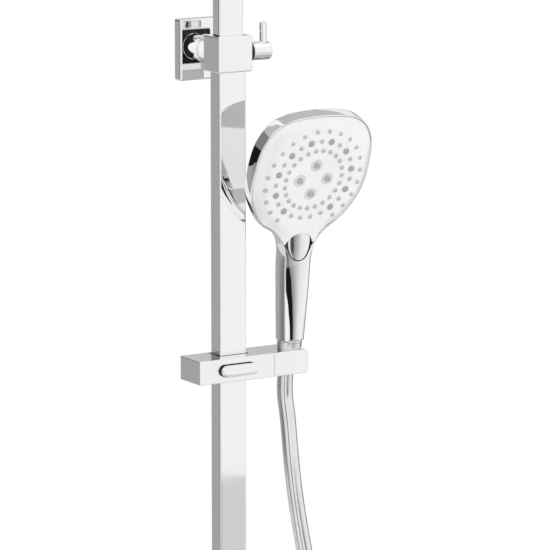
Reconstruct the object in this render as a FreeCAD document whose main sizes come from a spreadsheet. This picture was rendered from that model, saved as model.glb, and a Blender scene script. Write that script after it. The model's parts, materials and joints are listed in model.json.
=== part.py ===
import FreeCAD, Part
import math
import os
import re
from types import SimpleNamespace

from FreeCAD import Placement, Rotation, Vector

# Rainfall shower column, in millimetres.
# Frame: origin at the centre of the upper wall plate, on the wall plane; +X to the right,
# +Y into the wall, +Z up.  The column's two tubes stand at y = -rail_gap.

doc = FreeCAD.newDocument("rain_shower_column")
sheet = doc.addObject("Spreadsheet::Sheet", "sizes")

SIZES = {
    # wall side
    "rail_gap": 47.2,          # wall to the axis of both tubes
    "plate_side": 56.3,        # square wall plates
    "plate_deep": 10.0,
    "plate_wall": 2.4,
    "plate_round": 2.0,
    "arm_dia": 23.5,           # round arms between plate and block
    "arm_gap": 4.3,            # wall to the arm's end, inside the plate
    "collar_dia": 26.5,
    "collar_deep": 3.0,
    "spigot_dia": 17.0,        # arm's nose in the block's back
    "spigot_deep": 5.0,
    "water_bore": 12.0,
    "thread_dia": 20.96,       # G1/2 male thread, outside
    "nipple_out": 14.0,        # length of thread beyond the wall plane
    "nipple_in": 18.0,         # length of the nipple inside the arm
    "nipple_dia": 18.0,
    # blocks and tubes
    "block_wide": 35.6,
    "block_deep": 27.6,
    "block_tall": 32.8,
    "block_round": 1.2,
    "insert_deep": 6.0,        # how far a tube sits in its block
    "slip": 0.05,              # clearance a side of a fitted piece
    "riser_wide": 25.4,
    "riser_deep": 13.3,
    "riser_wall": 1.2,
    "riser_round": 2.0,
    "riser_rise": 300.0,       # upper block's centre to the overhead arm's axis
    "bend_radius": 45.0,
    "reach": 380.0,            # wall to the rain head's centre
    "arm_tail": 18.0,          # overhead arm beyond the head's centre
    "rail_wide": 28.0,
    "rail_deep": 17.2,
    "rail_wall": 1.5,
    "rail_round": 1.5,
    "rail_down": 685.0,        # upper block's centre to the rail's lower end
    "bracket_down": 650.0,     # upper block's centre to the lower block's centre
    # diverter
    "valve_dia": 16.0,
    "valve_end": 11.0,         # blind end of the valve bore, left of the centre
    "sleeve_inner": 11.0,
    "sleeve_right": 12.0,
    "spindle_dia": 7.0,
    "running": 0.05,           # radial clearance of a turning fit
    "neck_dia": 13.0,
    "neck_right": 19.9,
    "knob_dia": 17.3,
    "knob_left": 20.2,
    "knob_right": 42.5,
    "lever_dia": 6.5,
    "lever_x": 37.0,
    "lever_top": 26.0,
    # rain head
    "head_side": 220.0,
    "head_round": 42.0,
    "head_thick": 14.0,
    "head_wall": 2.5,
    "ball_dia": 20.0,
    "ball_drop": 17.0,         # underside of the arm to the ball's centre
    "seat_dia": 25.0,
    "socket_dia": 36.0,
    "socket_low": 12.0,
    "socket_top": 6.0,
    "boss_dia": 44.0,
    "boss_tall": 4.0,
    "head_grid": 9,            # nozzles along a side
    "grid_pitch": 20.0,
    # slider
    "slider_down": 287.9,      # upper block's centre to the slider's centre
    "slider_left": 43.4,
    "seam": 36.15,             # middle of the gap to the holder
    "seam_gap": 0.3,
    "holder_right": 72.7,
    "slider_front": 21.9,      # rail axis to the front face
    "slider_back": 13.5,
    "slider_tall": 22.2,
    "slider_round": 0.8,
    "holder_round": 3.6,
    "slot_side": 2.2,          # slider's slot beside the rail, for the liner
    "slot_front": 1.4,         # the same before and behind the rail
    "liner_slip": 0.15,
    "liner_sink": 0.9,
    "button_x": -2.7,
    "button_wide": 38.8,
    "button_tall": 10.8,
    "button_out": 5.7,
    "button_in": 3.4,
    "pocket_deep": 8.6,
    "button_slip": 0.3,
    "shoe_wide": 15.6,
    "shoe_tall": 7.6,
    "shoe_gap": 0.2,
    "pin_dia": 8.0,
    "pin_left": 22.0,
    "pin_right": 45.5,
    "pin_head": 11.0,
    "washer_dia": 17.6,
    "washer_thick": 1.5,
    # holder socket, cone nut and handset, along the leaning axis
    "socket_x": 60.5,
    "socket_y": 4.2,           # in front of the rail axis
    "cone_lean": 12.7,         # degrees forward of upright
    "cone_low": -9.0,
    "cone_top": 13.3,
    "cone_low_dia": 18.6,
    "cone_top_dia": 22.1,
    "cone_slip": 0.15,
    "ring_dia": 23.0,
    "ring_low": 14.4,
    "ring_top": 20.2,
    "nut_bore": 20.5,
    "hose_dia": 14.8,
    "hose_slot": 16.0,
    "hose_bore": 11.0,
    "handset_gap": 0.3,
    "thread_long": 8.5,
    "shell_wall": 2.4,
    "head_y": 49.4,            # spray face centre, in front of the rail axis
    "head_down": 114.3,        # spray face centre, under the upper block's centre
    "face_lean": 21.3,         # degrees the spray face leans
    "face_half": 61.0,         # spray head's half width
    "dome_deep": 23.0,
    "face_inset": 4.0,
    "face_thick": 3.0,
    # rail outlet and hose end
    "outlet_collar_dia": 24.0,
    "outlet_thread": 20.5,
    "hose_nut_dia": 25.0,
    "hose_nut_tall": 25.0,
    # handset inside
    "handle_low": 20.5,        # handle's lower end, along the leaning axis
    "handle_bend_y": 2.8,      # where the handle's line bends, from its lower end
    "handle_bend_z": 58.0,
    "neck_y": 21.0,            # upper end of the handle's line, inside the head
    "neck_down": 152.0,
    "nozzle_dia": 3.0,
    "jet_dia": 4.4,
    "nozzle_out": 0.8,
    "swirl_dia": 12.0,
    "swirl_ring": 14.6,        # radii of the nozzle rings
    "inner_ring": 29.7,
    "middle_ring": 39.4,
    "outer_ring": 49.3,
    "outer_step": 15.1,        # degrees between the outer ring's nozzles
    "mat_thick": 1.5,
    "face_ledge": 1.2,         # step that the spray face and the mat rest on
    "core_radius": 44.0,
    "core_thick": 5.0,
    "select_y": 33.2,          # selector button's centre
    "select_down": 179.0,
    "select_lean": 16.0,
    "select_wide": 20.0,
    "select_tall": 27.0,
    "select_deep": 6.5,
    "select_travel": 1.5,
    "select_slip": 0.3,
    "water_tube": 8.6,
    "thread_neck": 4.0,
    "spring_wire": 0.6,
    "spring_dia": 5.0,
    # smaller pieces
    "filter_thick": 1.5,
    "nipple_shoulder": 2.5,
    "port_dia": 8.0,
    "port_left": 4.0,
    "stud_dia": 8.0,
    "stud_long": 18.0,
    "grub_dia": 4.0,
    "grub_back": 14.0,         # wall to the arm's grub screw
    "anchor_side": 44.0,
    "anchor_thick": 4.0,
    "screw_hole_dia": 5.2,
    "screw_pitch": 30.0,
    "pin_head_thick": 3.0,
    "leaf_thick": 0.8,
    "spring_offset": 12.0,
    "select_spring_long": 3.2,
    "seam_front": 6.0,         # handle's seam, in front of its lower end's middle
    "seam_lean": 9.0,
    "seal_first": 5.0,
    "seal_second": 9.0,
    "seal_wire": 1.4,
    "seal_thick": 2.0,
    "stem_right": 33.5,
    "lever_low": 2.5,
    "knob_grub_x": 27.0,
    "ball_stem": 13.8,
    "ball_neck": 12.0,
    "ball_disc": 2.5,
    "ball_bore": 8.0,
    "seat_half": 4.0,
    "head_crown": 5.0,
    "head_roof": 1.0,
    "head_face_thick": 3.0,
    "head_mat_thick": 1.5,
    "head_nozzle_dia": 4.0,
    "head_nozzle_out": 1.8,
    "cap_thick": 1.5,
    "cap_plug": 6.0,
    "outlet_plug_tall": 14.0,
    "outlet_shut": 3.0,
    "outlet_collar_tall": 4.0,
    "outlet_thread_long": 11.0,
    "check_tall": 16.0,
}

for row, (alias, value) in enumerate(SIZES.items(), start=1):
    sheet.set(f"A{row}", alias.replace("_", " "))
    sheet.set(f"B{row}", str(value))
    sheet.setAlias(f"B{row}", alias)
doc.recompute()

S = SimpleNamespace(**{alias: float(sheet.get(alias)) for alias in SIZES})
NODES = []
TURNED = {
    "X": Rotation(Vector(0, 1, 0), 90),
    "Y": Rotation(Vector(1, 0, 0), -90),
    "Z": Rotation(),
}


# ---------------------------------------------------------------- building blocks

def formula(text):
    """A formula on the sheet's names, as an expression on its cells."""
    def cell(found):
        return "sizes." + found.group() if found.group() in SIZES else found.group()
    return re.sub(r"[a-z]+(?:_[a-z]+)*", cell, str(text))


def bind(thing, **texts):
    """Bind properties of an object to formulas."""
    for prop, text in texts.items():
        thing.setExpression(prop, formula(text))


def stand(thing, x, y, z):
    """Bind an object's place to three formulas."""
    for axis, text in zip("xyz", (x, y, z)):
        thing.setExpression("Placement.Base." + axis, formula(text))
    return thing


def slab(name, x, y, z):
    """A box between two formulas along each axis."""
    thing = doc.addObject("Part::Box", name)
    for prop, (low, high) in zip(("Length", "Width", "Height"), (x, y, z)):
        thing.setExpression(prop, formula(f"({high}) - ({low})"))
    return stand(thing, x[0], y[0], z[0])


def rod(name, axis, dia, at, reach):
    """A cylinder along an axis; at gives its other two coordinates in X, Y, Z order."""
    thing = doc.addObject("Part::Cylinder", name)
    thing.Placement = Placement(Vector(), TURNED[axis])
    bind(thing, Radius=f"({dia}) / 2", Height=f"({reach[1]}) - ({reach[0]})")
    place = list(at)
    place.insert("XYZ".index(axis), reach[0])
    return stand(thing, *place)


def ball(name, dia, x, y, z):
    """A sphere."""
    thing = doc.addObject("Part::Sphere", name)
    bind(thing, Radius=f"({dia}) / 2")
    return stand(thing, x, y, z)


def ring(name, axis, middle_dia, wire_dia, at, along):
    """A round seal about an axis."""
    thing = doc.addObject("Part::Torus", name)
    thing.Placement = Placement(Vector(), TURNED[axis])
    bind(thing, Radius1=f"({middle_dia}) / 2", Radius2=f"({wire_dia}) / 2")
    place = list(at)
    place.insert("XYZ".index(axis), along)
    return stand(thing, *place)


def joined(name, *things):
    """Several solids as one."""
    thing = doc.addObject("Part::MultiFuse", name)
    thing.Shapes = list(things)
    thing.Refine = True
    return thing


def cut(name, base, *tools):
    """One solid less others."""
    thing = doc.addObject("Part::Cut", name)
    thing.Base = base
    thing.Tool = tools[0] if len(tools) == 1 else joined(name + "_tools", *tools)
    thing.Refine = True
    return thing


def rounded(name, base, radius, wanted=lambda edge: True):
    """A solid with the wanted edges rounded."""
    doc.recompute()
    thing = doc.addObject("Part::Fillet", name)
    thing.Base = base
    edges = enumerate(base.Shape.Edges, start=1)
    thing.Edges = [(number, radius, radius) for number, edge in edges if wanted(edge)]
    return thing


def along(axis):
    """Picks the straight edges that run along an axis."""
    way = {"X": Vector(1, 0, 0), "Y": Vector(0, 1, 0), "Z": Vector(0, 0, 1)}[axis]

    def wanted(edge):
        if not isinstance(edge.Curve, Part.Line):
            return False
        return abs(edge.Curve.Direction.dot(way)) > 0.999
    return wanted


def grouped(name, *things):
    """Separate solids kept in one node."""
    thing = doc.addObject("Part::Compound", name)
    thing.Links = list(things)
    return thing


def made(name, shape):
    """A solid made with Part's own functions."""
    thing = doc.addObject("Part::Feature", name)
    thing.Shape = shape
    return thing


def node(label, thing):
    """Names a finished piece."""
    thing.Label = label
    NODES.append(thing)
    return thing


# ---------------------------------------------------------------- wall brackets

def wall_plate(label, level):
    """Square cover against the wall, hollow behind, with a hole for the arm."""
    half = "plate_side / 2"
    outer = slab(label + "_outer", (f"-{half}", half), ("-plate_deep", "0"),
                 (f"{level} - {half}", f"{level} + {half}"))
    soft = rounded(label + "_soft", outer, S.plate_round, lambda edge: edge.BoundBox.YMin < -0.5)
    inside = "(plate_side / 2 - plate_wall)"
    hollow = slab(label + "_hollow", (f"-{inside}", inside), ("plate_wall - plate_deep", "1"),
                  (f"{level} - {inside}", f"{level} + {inside}"))
    hole = rod(label + "_hole", "Y", "arm_dia + 4 * slip", ("0", level), ("-plate_deep - 1", "1"))
    node(label, cut(label, soft, hollow, hole))


def arm_collar(label, level):
    """Thin ring round the arm in front of the plate."""
    outer = rod(label + "_outer", "Y", "collar_dia", ("0", level),
                ("-plate_deep - collar_deep", "-plate_deep"))
    hole = rod(label + "_hole", "Y", "arm_dia + 2 * slip", ("0", level),
               ("-plate_deep - collar_deep - 1", "1 - plate_deep"))
    node(label, cut(label, rounded(label + "_soft", outer, S.block_round / 2,
                                   lambda edge: edge.BoundBox.YMax < -S.plate_deep - 0.5), hole))


BACK = "(block_deep / 2 - rail_gap)"      # y of the blocks' back faces


def arm_body(label, level):
    """Round arm with a narrower nose that sits in the block's back."""
    stem = rod(label + "_stem", "Y", "arm_dia", ("0", level), (BACK, "-arm_gap"))
    nose = rod(label + "_nose", "Y", "spigot_dia", ("0", level), (f"{BACK} - spigot_deep", BACK))
    return joined(label + "_body", stem, nose)


def block_body(label, level):
    """Square block that holds a tube, with a seat for the arm's nose."""
    half_wide, half_tall = "block_wide / 2", "block_tall / 2"
    raw = slab(label + "_raw", (f"-{half_wide}", half_wide), (f"{BACK} - block_deep", BACK),
               (f"{level} - {half_tall}", f"{level} + {half_tall}"))
    seat = rod(label + "_seat", "Y", "spigot_dia + 2 * slip", ("0", level),
               (f"{BACK} - spigot_deep", f"{BACK} + 1"))
    return rounded(label + "_soft", raw, S.block_round), seat


def tube_socket(name, wide, deep, z):
    """Space for a rectangular tube standing on the column's axis."""
    half_wide, half_deep = f"({wide} / 2 + slip)", f"({deep} / 2 + slip)"
    return slab(name, (f"-{half_wide}", half_wide),
                (f"-rail_gap - {half_deep}", f"-rail_gap + {half_deep}"), z)


def upper_bracket():
    """Water inlet, arm and diverter block."""
    wall_plate("upper_plate", "0")
    arm_collar("upper_collar", "0")
    arm = arm_body("inlet_arm", "0")
    bore = rod("arm_bore", "Y", "water_bore", ("0", "0"), (f"{BACK} - spigot_deep - 1", "1"))
    seat = rod("arm_seat", "Y", "nipple_dia + 2 * slip", ("0", "0"),
               ("-nipple_in - filter_thick", "1"))
    node("inlet_arm", cut("inlet_arm", arm, bore, seat))

    thread = rod("nipple_thread", "Y", "thread_dia", ("0", "0"), ("-nipple_shoulder", "nipple_out"))
    tail = rod("nipple_tail", "Y", "nipple_dia", ("0", "0"), ("-nipple_in", "-nipple_shoulder"))
    way = rod("nipple_way", "Y", "water_bore", ("0", "0"), ("-nipple_in - 1", "nipple_out + 1"))
    node("inlet_nipple", cut("inlet_nipple", joined("nipple_body", thread, tail), way))

    washer = rod("filter_disc", "Y", "nipple_dia", ("0", "0"), ("-nipple_in - filter_thick", "-nipple_in"))
    holes = [rod(f"filter_hole_{k}", "Y", "3", (str(x), str(z)), ("-nipple_in - 4", "1 - nipple_in"))
             for k, (x, z) in enumerate([(0, 0), (4, 0), (-4, 0), (0, 4), (0, -4)])]
    node("inlet_filter", cut("inlet_filter", washer, *holes))

    block, nose_seat = block_body("diverter_block", "0")
    top = ("block_tall / 2 - insert_deep", "block_tall / 2 + 1")
    bottom = ("-block_tall / 2 - 1", "insert_deep - block_tall / 2")
    riser = tube_socket("riser_socket", "riser_wide", "riser_deep", top)
    rail = tube_socket("rail_socket", "rail_wide", "rail_deep", bottom)
    valve = rod("valve_bore", "X", "valve_dia", ("-rail_gap", "0"), ("-valve_end", "block_wide / 2 + 1"))
    back_way = rod("back_way", "Y", "water_bore / 2 + 2", ("0", "0"), ("-rail_gap", f"{BACK} + 1"))
    up_down = rod("up_down_way", "Z", "port_dia", ("-port_left", "-rail_gap"),
                  ("-block_tall / 2 + 1", "block_tall / 2 - 1"))
    node("diverter_block", cut("diverter_block", block, nose_seat, riser, rail, valve, back_way, up_down))


def lower_bracket():
    """Anchor plate on the wall, arm and the block round the rail."""
    level = "-bracket_down"
    wall_plate("lower_plate", level)
    arm_collar("lower_collar", level)
    arm = arm_body("lower_arm", level)
    stud_hole = rod("stud_hole", "Y", "stud_dia + 2 * slip", ("0", level), ("-stud_long - 1", "1"))
    screw_hole = rod("grub_hole", "Z", "grub_dia + 2 * slip", ("0", "-grub_back"),
                     (f"{level} - arm_dia / 2 - 1", level))
    node("lower_arm", cut("lower_arm", arm, stud_hole, screw_hole))
    node("arm_grub_screw", rod("arm_grub_screw", "Z", "grub_dia", ("0", "-grub_back"),
                               (f"{level} - arm_dia / 2 + 1", f"{level} - stud_dia / 2 - slip")))

    block, seat = block_body("lower_block", level)
    through = tube_socket("lower_through", "rail_wide", "rail_deep",
                          (f"{level} - block_tall / 2 - 1", f"{level} + block_tall / 2 + 1"))
    node("lower_block", cut("lower_block", block, seat, through))

    half = "anchor_side / 2"
    sheet_plate = slab("anchor_sheet", (f"-{half}", half), ("-anchor_thick", "0"),
                       (f"{level} - {half}", f"{level} + {half}"))
    stud = rod("anchor_stud", "Y", "stud_dia", ("0", level), ("-stud_long", "-anchor_thick / 2"))
    holes = [rod(f"anchor_hole_{side}", "Y", "screw_hole_dia", (f"{sign}screw_pitch / 2", level),
                 ("-anchor_thick - 1", "1")) for side, sign in (("right", ""), ("left", "-"))]
    plate = cut("anchor_holes", sheet_plate, *holes)
    node("wall_anchor", joined("wall_anchor", plate, stud))


# ---------------------------------------------------------------- diverter

def diverter():
    """Valve sleeve and its seals in the block; spindle, knob and lever pin turn."""
    at = ("-rail_gap", "0")
    outer = rod("sleeve_outer", "X", "valve_dia - 2 * slip", at, ("-valve_end", "sleeve_right"))
    inner = rod("sleeve_inner", "X", "sleeve_inner", at, ("-valve_end - 1", "sleeve_right + 1"))
    back = rod("sleeve_back", "Y", "water_bore / 2", ("-port_left / 2", "0"), ("-rail_gap", BACK))
    ports = rod("sleeve_ports", "Z", "port_dia - 1", ("-port_left", "-rail_gap"),
                ("-valve_dia", "valve_dia"))
    grooves = []
    for k, middle in enumerate(("seal_first", "seal_second")):
        wide = rod(f"groove_wide_{k}", "X", "valve_dia + 2", at,
                   (f"{middle} - seal_wire * 0.6", f"{middle} + seal_wire * 0.6"))
        core = rod(f"groove_core_{k}", "X", "valve_dia - 2 * slip - 2 * seal_wire", at,
                   (f"{middle} - seal_wire", f"{middle} + seal_wire"))
        grooves.append(cut(f"groove_{k}", wide, core))
    node("diverter_sleeve", cut("diverter_sleeve", outer, inner, back, ports, *grooves))
    seals = [ring(f"sleeve_seal_{k}", "X", "valve_dia - 2 * slip - seal_wire", "seal_wire * 0.96",
                  at, middle) for k, middle in enumerate(("seal_first", "seal_second"))]
    node("sleeve_seals", grouped("sleeve_seals", *seals))

    gland = rod("gland_screwed", "X", "valve_dia - 2 * slip", at, ("sleeve_right", "block_wide / 2"))
    neck = rod("gland_neck", "X", "neck_dia", at, ("block_wide / 2", "neck_right"))
    hole = rod("gland_hole", "X", "spindle_dia + 2 * running", at, ("sleeve_right - 1", "neck_right + 1"))
    node("gland_nut", cut("gland_nut", joined("gland_body", gland, neck), hole))

    plug = rod("spindle_plug", "X", "sleeve_inner - 2 * running", at,
               ("-valve_end + 0.5", "sleeve_right - 1"))
    stem = rod("spindle_stem", "X", "spindle_dia", at, ("sleeve_right - 2", "stem_right"))
    window = slab("spindle_window", ("-port_left - port_dia / 2", "-port_left + port_dia / 2"),
                  ("-rail_gap", "-rail_gap + sleeve_inner"), ("-spindle_dia / 2", "sleeve_inner"))
    node("diverter_spindle", cut("diverter_spindle", joined("spindle_body", plug, stem), window))

    barrel = rod("knob_barrel", "X", "knob_dia", at, ("knob_left", "knob_right"))
    soft = rounded("knob_soft", barrel, S.block_round)
    bore = rod("knob_bore", "X", "spindle_dia + 2 * slip", at, ("knob_left - 1", "stem_right"))
    pin_hole = rod("knob_pin_hole", "Z", "lever_dia + 2 * slip", ("lever_x", "-rail_gap"),
                   ("lever_low", "knob_dia"))
    grub_hole = rod("knob_grub_hole", "Z", "grub_dia + 2 * slip", ("knob_grub_x", "-rail_gap"),
                    ("-knob_dia", "0"))
    node("diverter_knob", cut("diverter_knob", soft, bore, pin_hole, grub_hole))
    node("knob_grub_screw", rod("knob_grub_screw", "Z", "grub_dia", ("knob_grub_x", "-rail_gap"),
                                ("0.8 - knob_dia / 2", "-spindle_dia / 2 - slip")))
    pin = rod("lever_raw", "Z", "lever_dia", ("lever_x", "-rail_gap"), ("lever_low", "lever_top"))
    node("lever_pin", rounded("lever_pin", pin, S.block_round,
                              lambda edge: edge.BoundBox.ZMin > S.lever_top - 1))


# ---------------------------------------------------------------- tubes

def tube_profile(wide, deep, radius):
    """Rounded rectangle about the origin in the XY plane, as a wire."""
    a, b = wide / 2, deep / 2
    corners = [(a - radius, b - radius, 0), (radius - a, b - radius, 90),
               (radius - a, radius - b, 180), (a - radius, radius - b, 270)]
    ends = []
    for x, y, start in corners:
        turn = [math.radians(start + step) for step in (0, 45, 90)]
        ends.append([Vector(x + radius * math.cos(t), y + radius * math.sin(t), 0) for t in turn])
    edges = []
    for k, points in enumerate(ends):
        edges.append(Part.Arc(*points).toShape())
        edges.append(Part.LineSegment(points[2], ends[(k + 1) % 4][0]).toShape())
    return Part.Wire(edges)


def bent_tube(path, wide, deep, wall, radius):
    """Rectangular tube swept along a path that starts upward from its first point."""
    skins = []
    for inset in (0, wall):
        profile = tube_profile(wide - 2 * inset, deep - 2 * inset, max(radius - inset, 0.4))
        profile.translate(path.Vertexes[0].Point)
        skins.append(path.makePipeShell([profile], True, False))
    return skins[0].cut(skins[1])


def overhead_tube():
    """Riser, bend and overhead arm in one tube, with its end cap."""
    y, low = -S.rail_gap, S.block_tall / 2 - S.insert_deep
    bend_low, top = S.riser_rise - S.bend_radius, S.riser_rise
    end = -S.reach - S.arm_tail
    slope = S.bend_radius * (1 - math.sqrt(0.5))
    path = Part.Wire([
        Part.LineSegment(Vector(0, y, low), Vector(0, y, bend_low)).toShape(),
        Part.Arc(Vector(0, y, bend_low), Vector(0, y - slope, top - slope),
                 Vector(0, y - S.bend_radius, top)).toShape(),
        Part.LineSegment(Vector(0, y - S.bend_radius, top), Vector(0, end, top)).toShape(),
    ])
    tube = made("riser_tube", bent_tube(path, S.riser_wide, S.riser_deep, S.riser_wall, S.riser_round))
    hole = rod("riser_hole", "Z", "ball_stem + 2 * slip", ("0", "-reach"),
               ("riser_rise - riser_deep", "riser_rise"))
    node("overhead_tube", cut("overhead_tube", tube, hole))

    tip, inside = "-reach - arm_tail", "(riser_wall + slip)"
    half_wide, half_deep = "riser_wide / 2", "riser_deep / 2"
    lid = slab("cap_lid", (f"-{half_wide}", half_wide), (f"{tip} - cap_thick", tip),
               (f"riser_rise - {half_deep}", f"riser_rise + {half_deep}"))
    soft = rounded("cap_soft", lid, 1.0, lambda edge: edge.BoundBox.YMax < -S.reach - S.arm_tail - 0.5)
    plug = slab("cap_plug", (f"{inside} - {half_wide}", f"{half_wide} - {inside}"),
                (tip, f"{tip} + cap_plug"),
                (f"riser_rise - {half_deep} + {inside}", f"riser_rise + {half_deep} - {inside}"))
    trimmed = rounded("cap_plug_soft", plug, S.riser_round - S.riser_wall, along("Y"))
    node("overhead_tube_cap", joined("overhead_tube_cap", soft, trimmed))


def guide_rail():
    """Lower tube: it carries the slider and leads water down to the hose."""
    top, low = "insert_deep - block_tall / 2", "-rail_down"
    half_wide, half_deep = "rail_wide / 2", "rail_deep / 2"
    raw = slab("rail_raw", (f"-{half_wide}", half_wide),
               (f"-rail_gap - {half_deep}", f"-rail_gap + {half_deep}"), (low, top))
    soft = rounded("rail_soft", raw, S.rail_round, along("Z"))
    inner = slab("rail_inner", (f"rail_wall - {half_wide}", f"{half_wide} - rail_wall"),
                 (f"-rail_gap - {half_deep} + rail_wall", f"-rail_gap + {half_deep} - rail_wall"),
                 (f"{low} - 1", f"{top} + 1"))
    node("guide_rail", cut("guide_rail", soft, inner))


THREAD_END = "(-rail_down - outlet_shut - outlet_collar_tall - outlet_thread_long)"
HOSE_NUT_LOW = "(-rail_down - outlet_shut - outlet_collar_tall - 1 - hose_nut_tall)"


def rail_outlet():
    """Plug in the rail's lower end with a thread, a check valve and the hose's nut."""
    at = ("0", "-rail_gap")
    inside = "(rail_wall + slip)"
    plug = slab("outlet_plug", (f"{inside} - rail_wide / 2", f"rail_wide / 2 - {inside}"),
                (f"-rail_gap - rail_deep / 2 + {inside}", f"-rail_gap + rail_deep / 2 - {inside}"),
                ("-rail_down", "outlet_plug_tall - rail_down"))
    shut = slab("outlet_shut", ("-rail_wide / 2", "rail_wide / 2"),
                ("-rail_gap - rail_deep / 2", "-rail_gap + rail_deep / 2"),
                ("-rail_down - outlet_shut", "-rail_down"))
    collar = rod("outlet_collar", "Z", "outlet_collar_dia", at,
                 ("-rail_down - outlet_shut - outlet_collar_tall", "-rail_down - outlet_shut"))
    thread = rod("outlet_thread", "Z", "outlet_thread", at, (THREAD_END, "-rail_down - outlet_shut"))
    way = rod("outlet_way", "Z", "water_bore", at,
              (f"{THREAD_END} - 1", "outlet_plug_tall - rail_down + 1"))
    body = joined("outlet_body", plug, shut, collar, thread)
    node("rail_outlet", cut("rail_outlet", body, way))

    valve = rod("check_outer", "Z", "water_bore - 2 * slip", at,
                (THREAD_END, f"{THREAD_END} + check_tall"))
    core = rod("check_inner", "Z", "water_bore - 5", at,
               (f"{THREAD_END} - 1", f"{THREAD_END} + check_tall + 1"))
    node("check_valve", cut("check_valve", valve, core))

    seal = rod("outlet_seal_disc", "Z", "outlet_thread - 4 * slip", at,
               (f"{THREAD_END} - seal_thick", THREAD_END))
    seal_hole = rod("outlet_seal_hole", "Z", "hose_bore", at,
                    (f"{THREAD_END} - seal_thick - 1", f"{THREAD_END} + 1"))
    node("outlet_washer", cut("outlet_washer", seal, seal_hole))

    barrel = rod("hose_nut_barrel", "Z", "hose_nut_dia", at,
                 (HOSE_NUT_LOW, f"{HOSE_NUT_LOW} + hose_nut_tall"))
    grips = [rod(f"hose_nut_grip_{k}", "Z", "2.4",
                 (str(round(S.hose_nut_dia / 2 * math.cos(turn), 4)),
                  f"-rail_gap + {round(S.hose_nut_dia / 2 * math.sin(turn), 4)}"),
                 (f"{HOSE_NUT_LOW} + 8", f"{HOSE_NUT_LOW} + hose_nut_tall - 3"))
             for k, turn in enumerate(math.radians(30 * step) for step in range(12))]
    screwed = rod("hose_nut_thread", "Z", "outlet_thread + 2 * slip", at,
                  (f"{THREAD_END} - seal_thick", f"{HOSE_NUT_LOW} + hose_nut_tall + 1"))
    bore = rod("hose_nut_bore", "Z", "hose_bore", at, (f"{HOSE_NUT_LOW} - 1", f"{THREAD_END} + 1"))
    soft = rounded("hose_nut_soft", barrel, 2.0)
    node("hose_outlet_nut", cut("hose_outlet_nut", soft, *grips, screwed, bore))


# ---------------------------------------------------------------- rain head

BALL_Z = "(riser_rise - riser_deep / 2 - ball_drop)"


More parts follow.
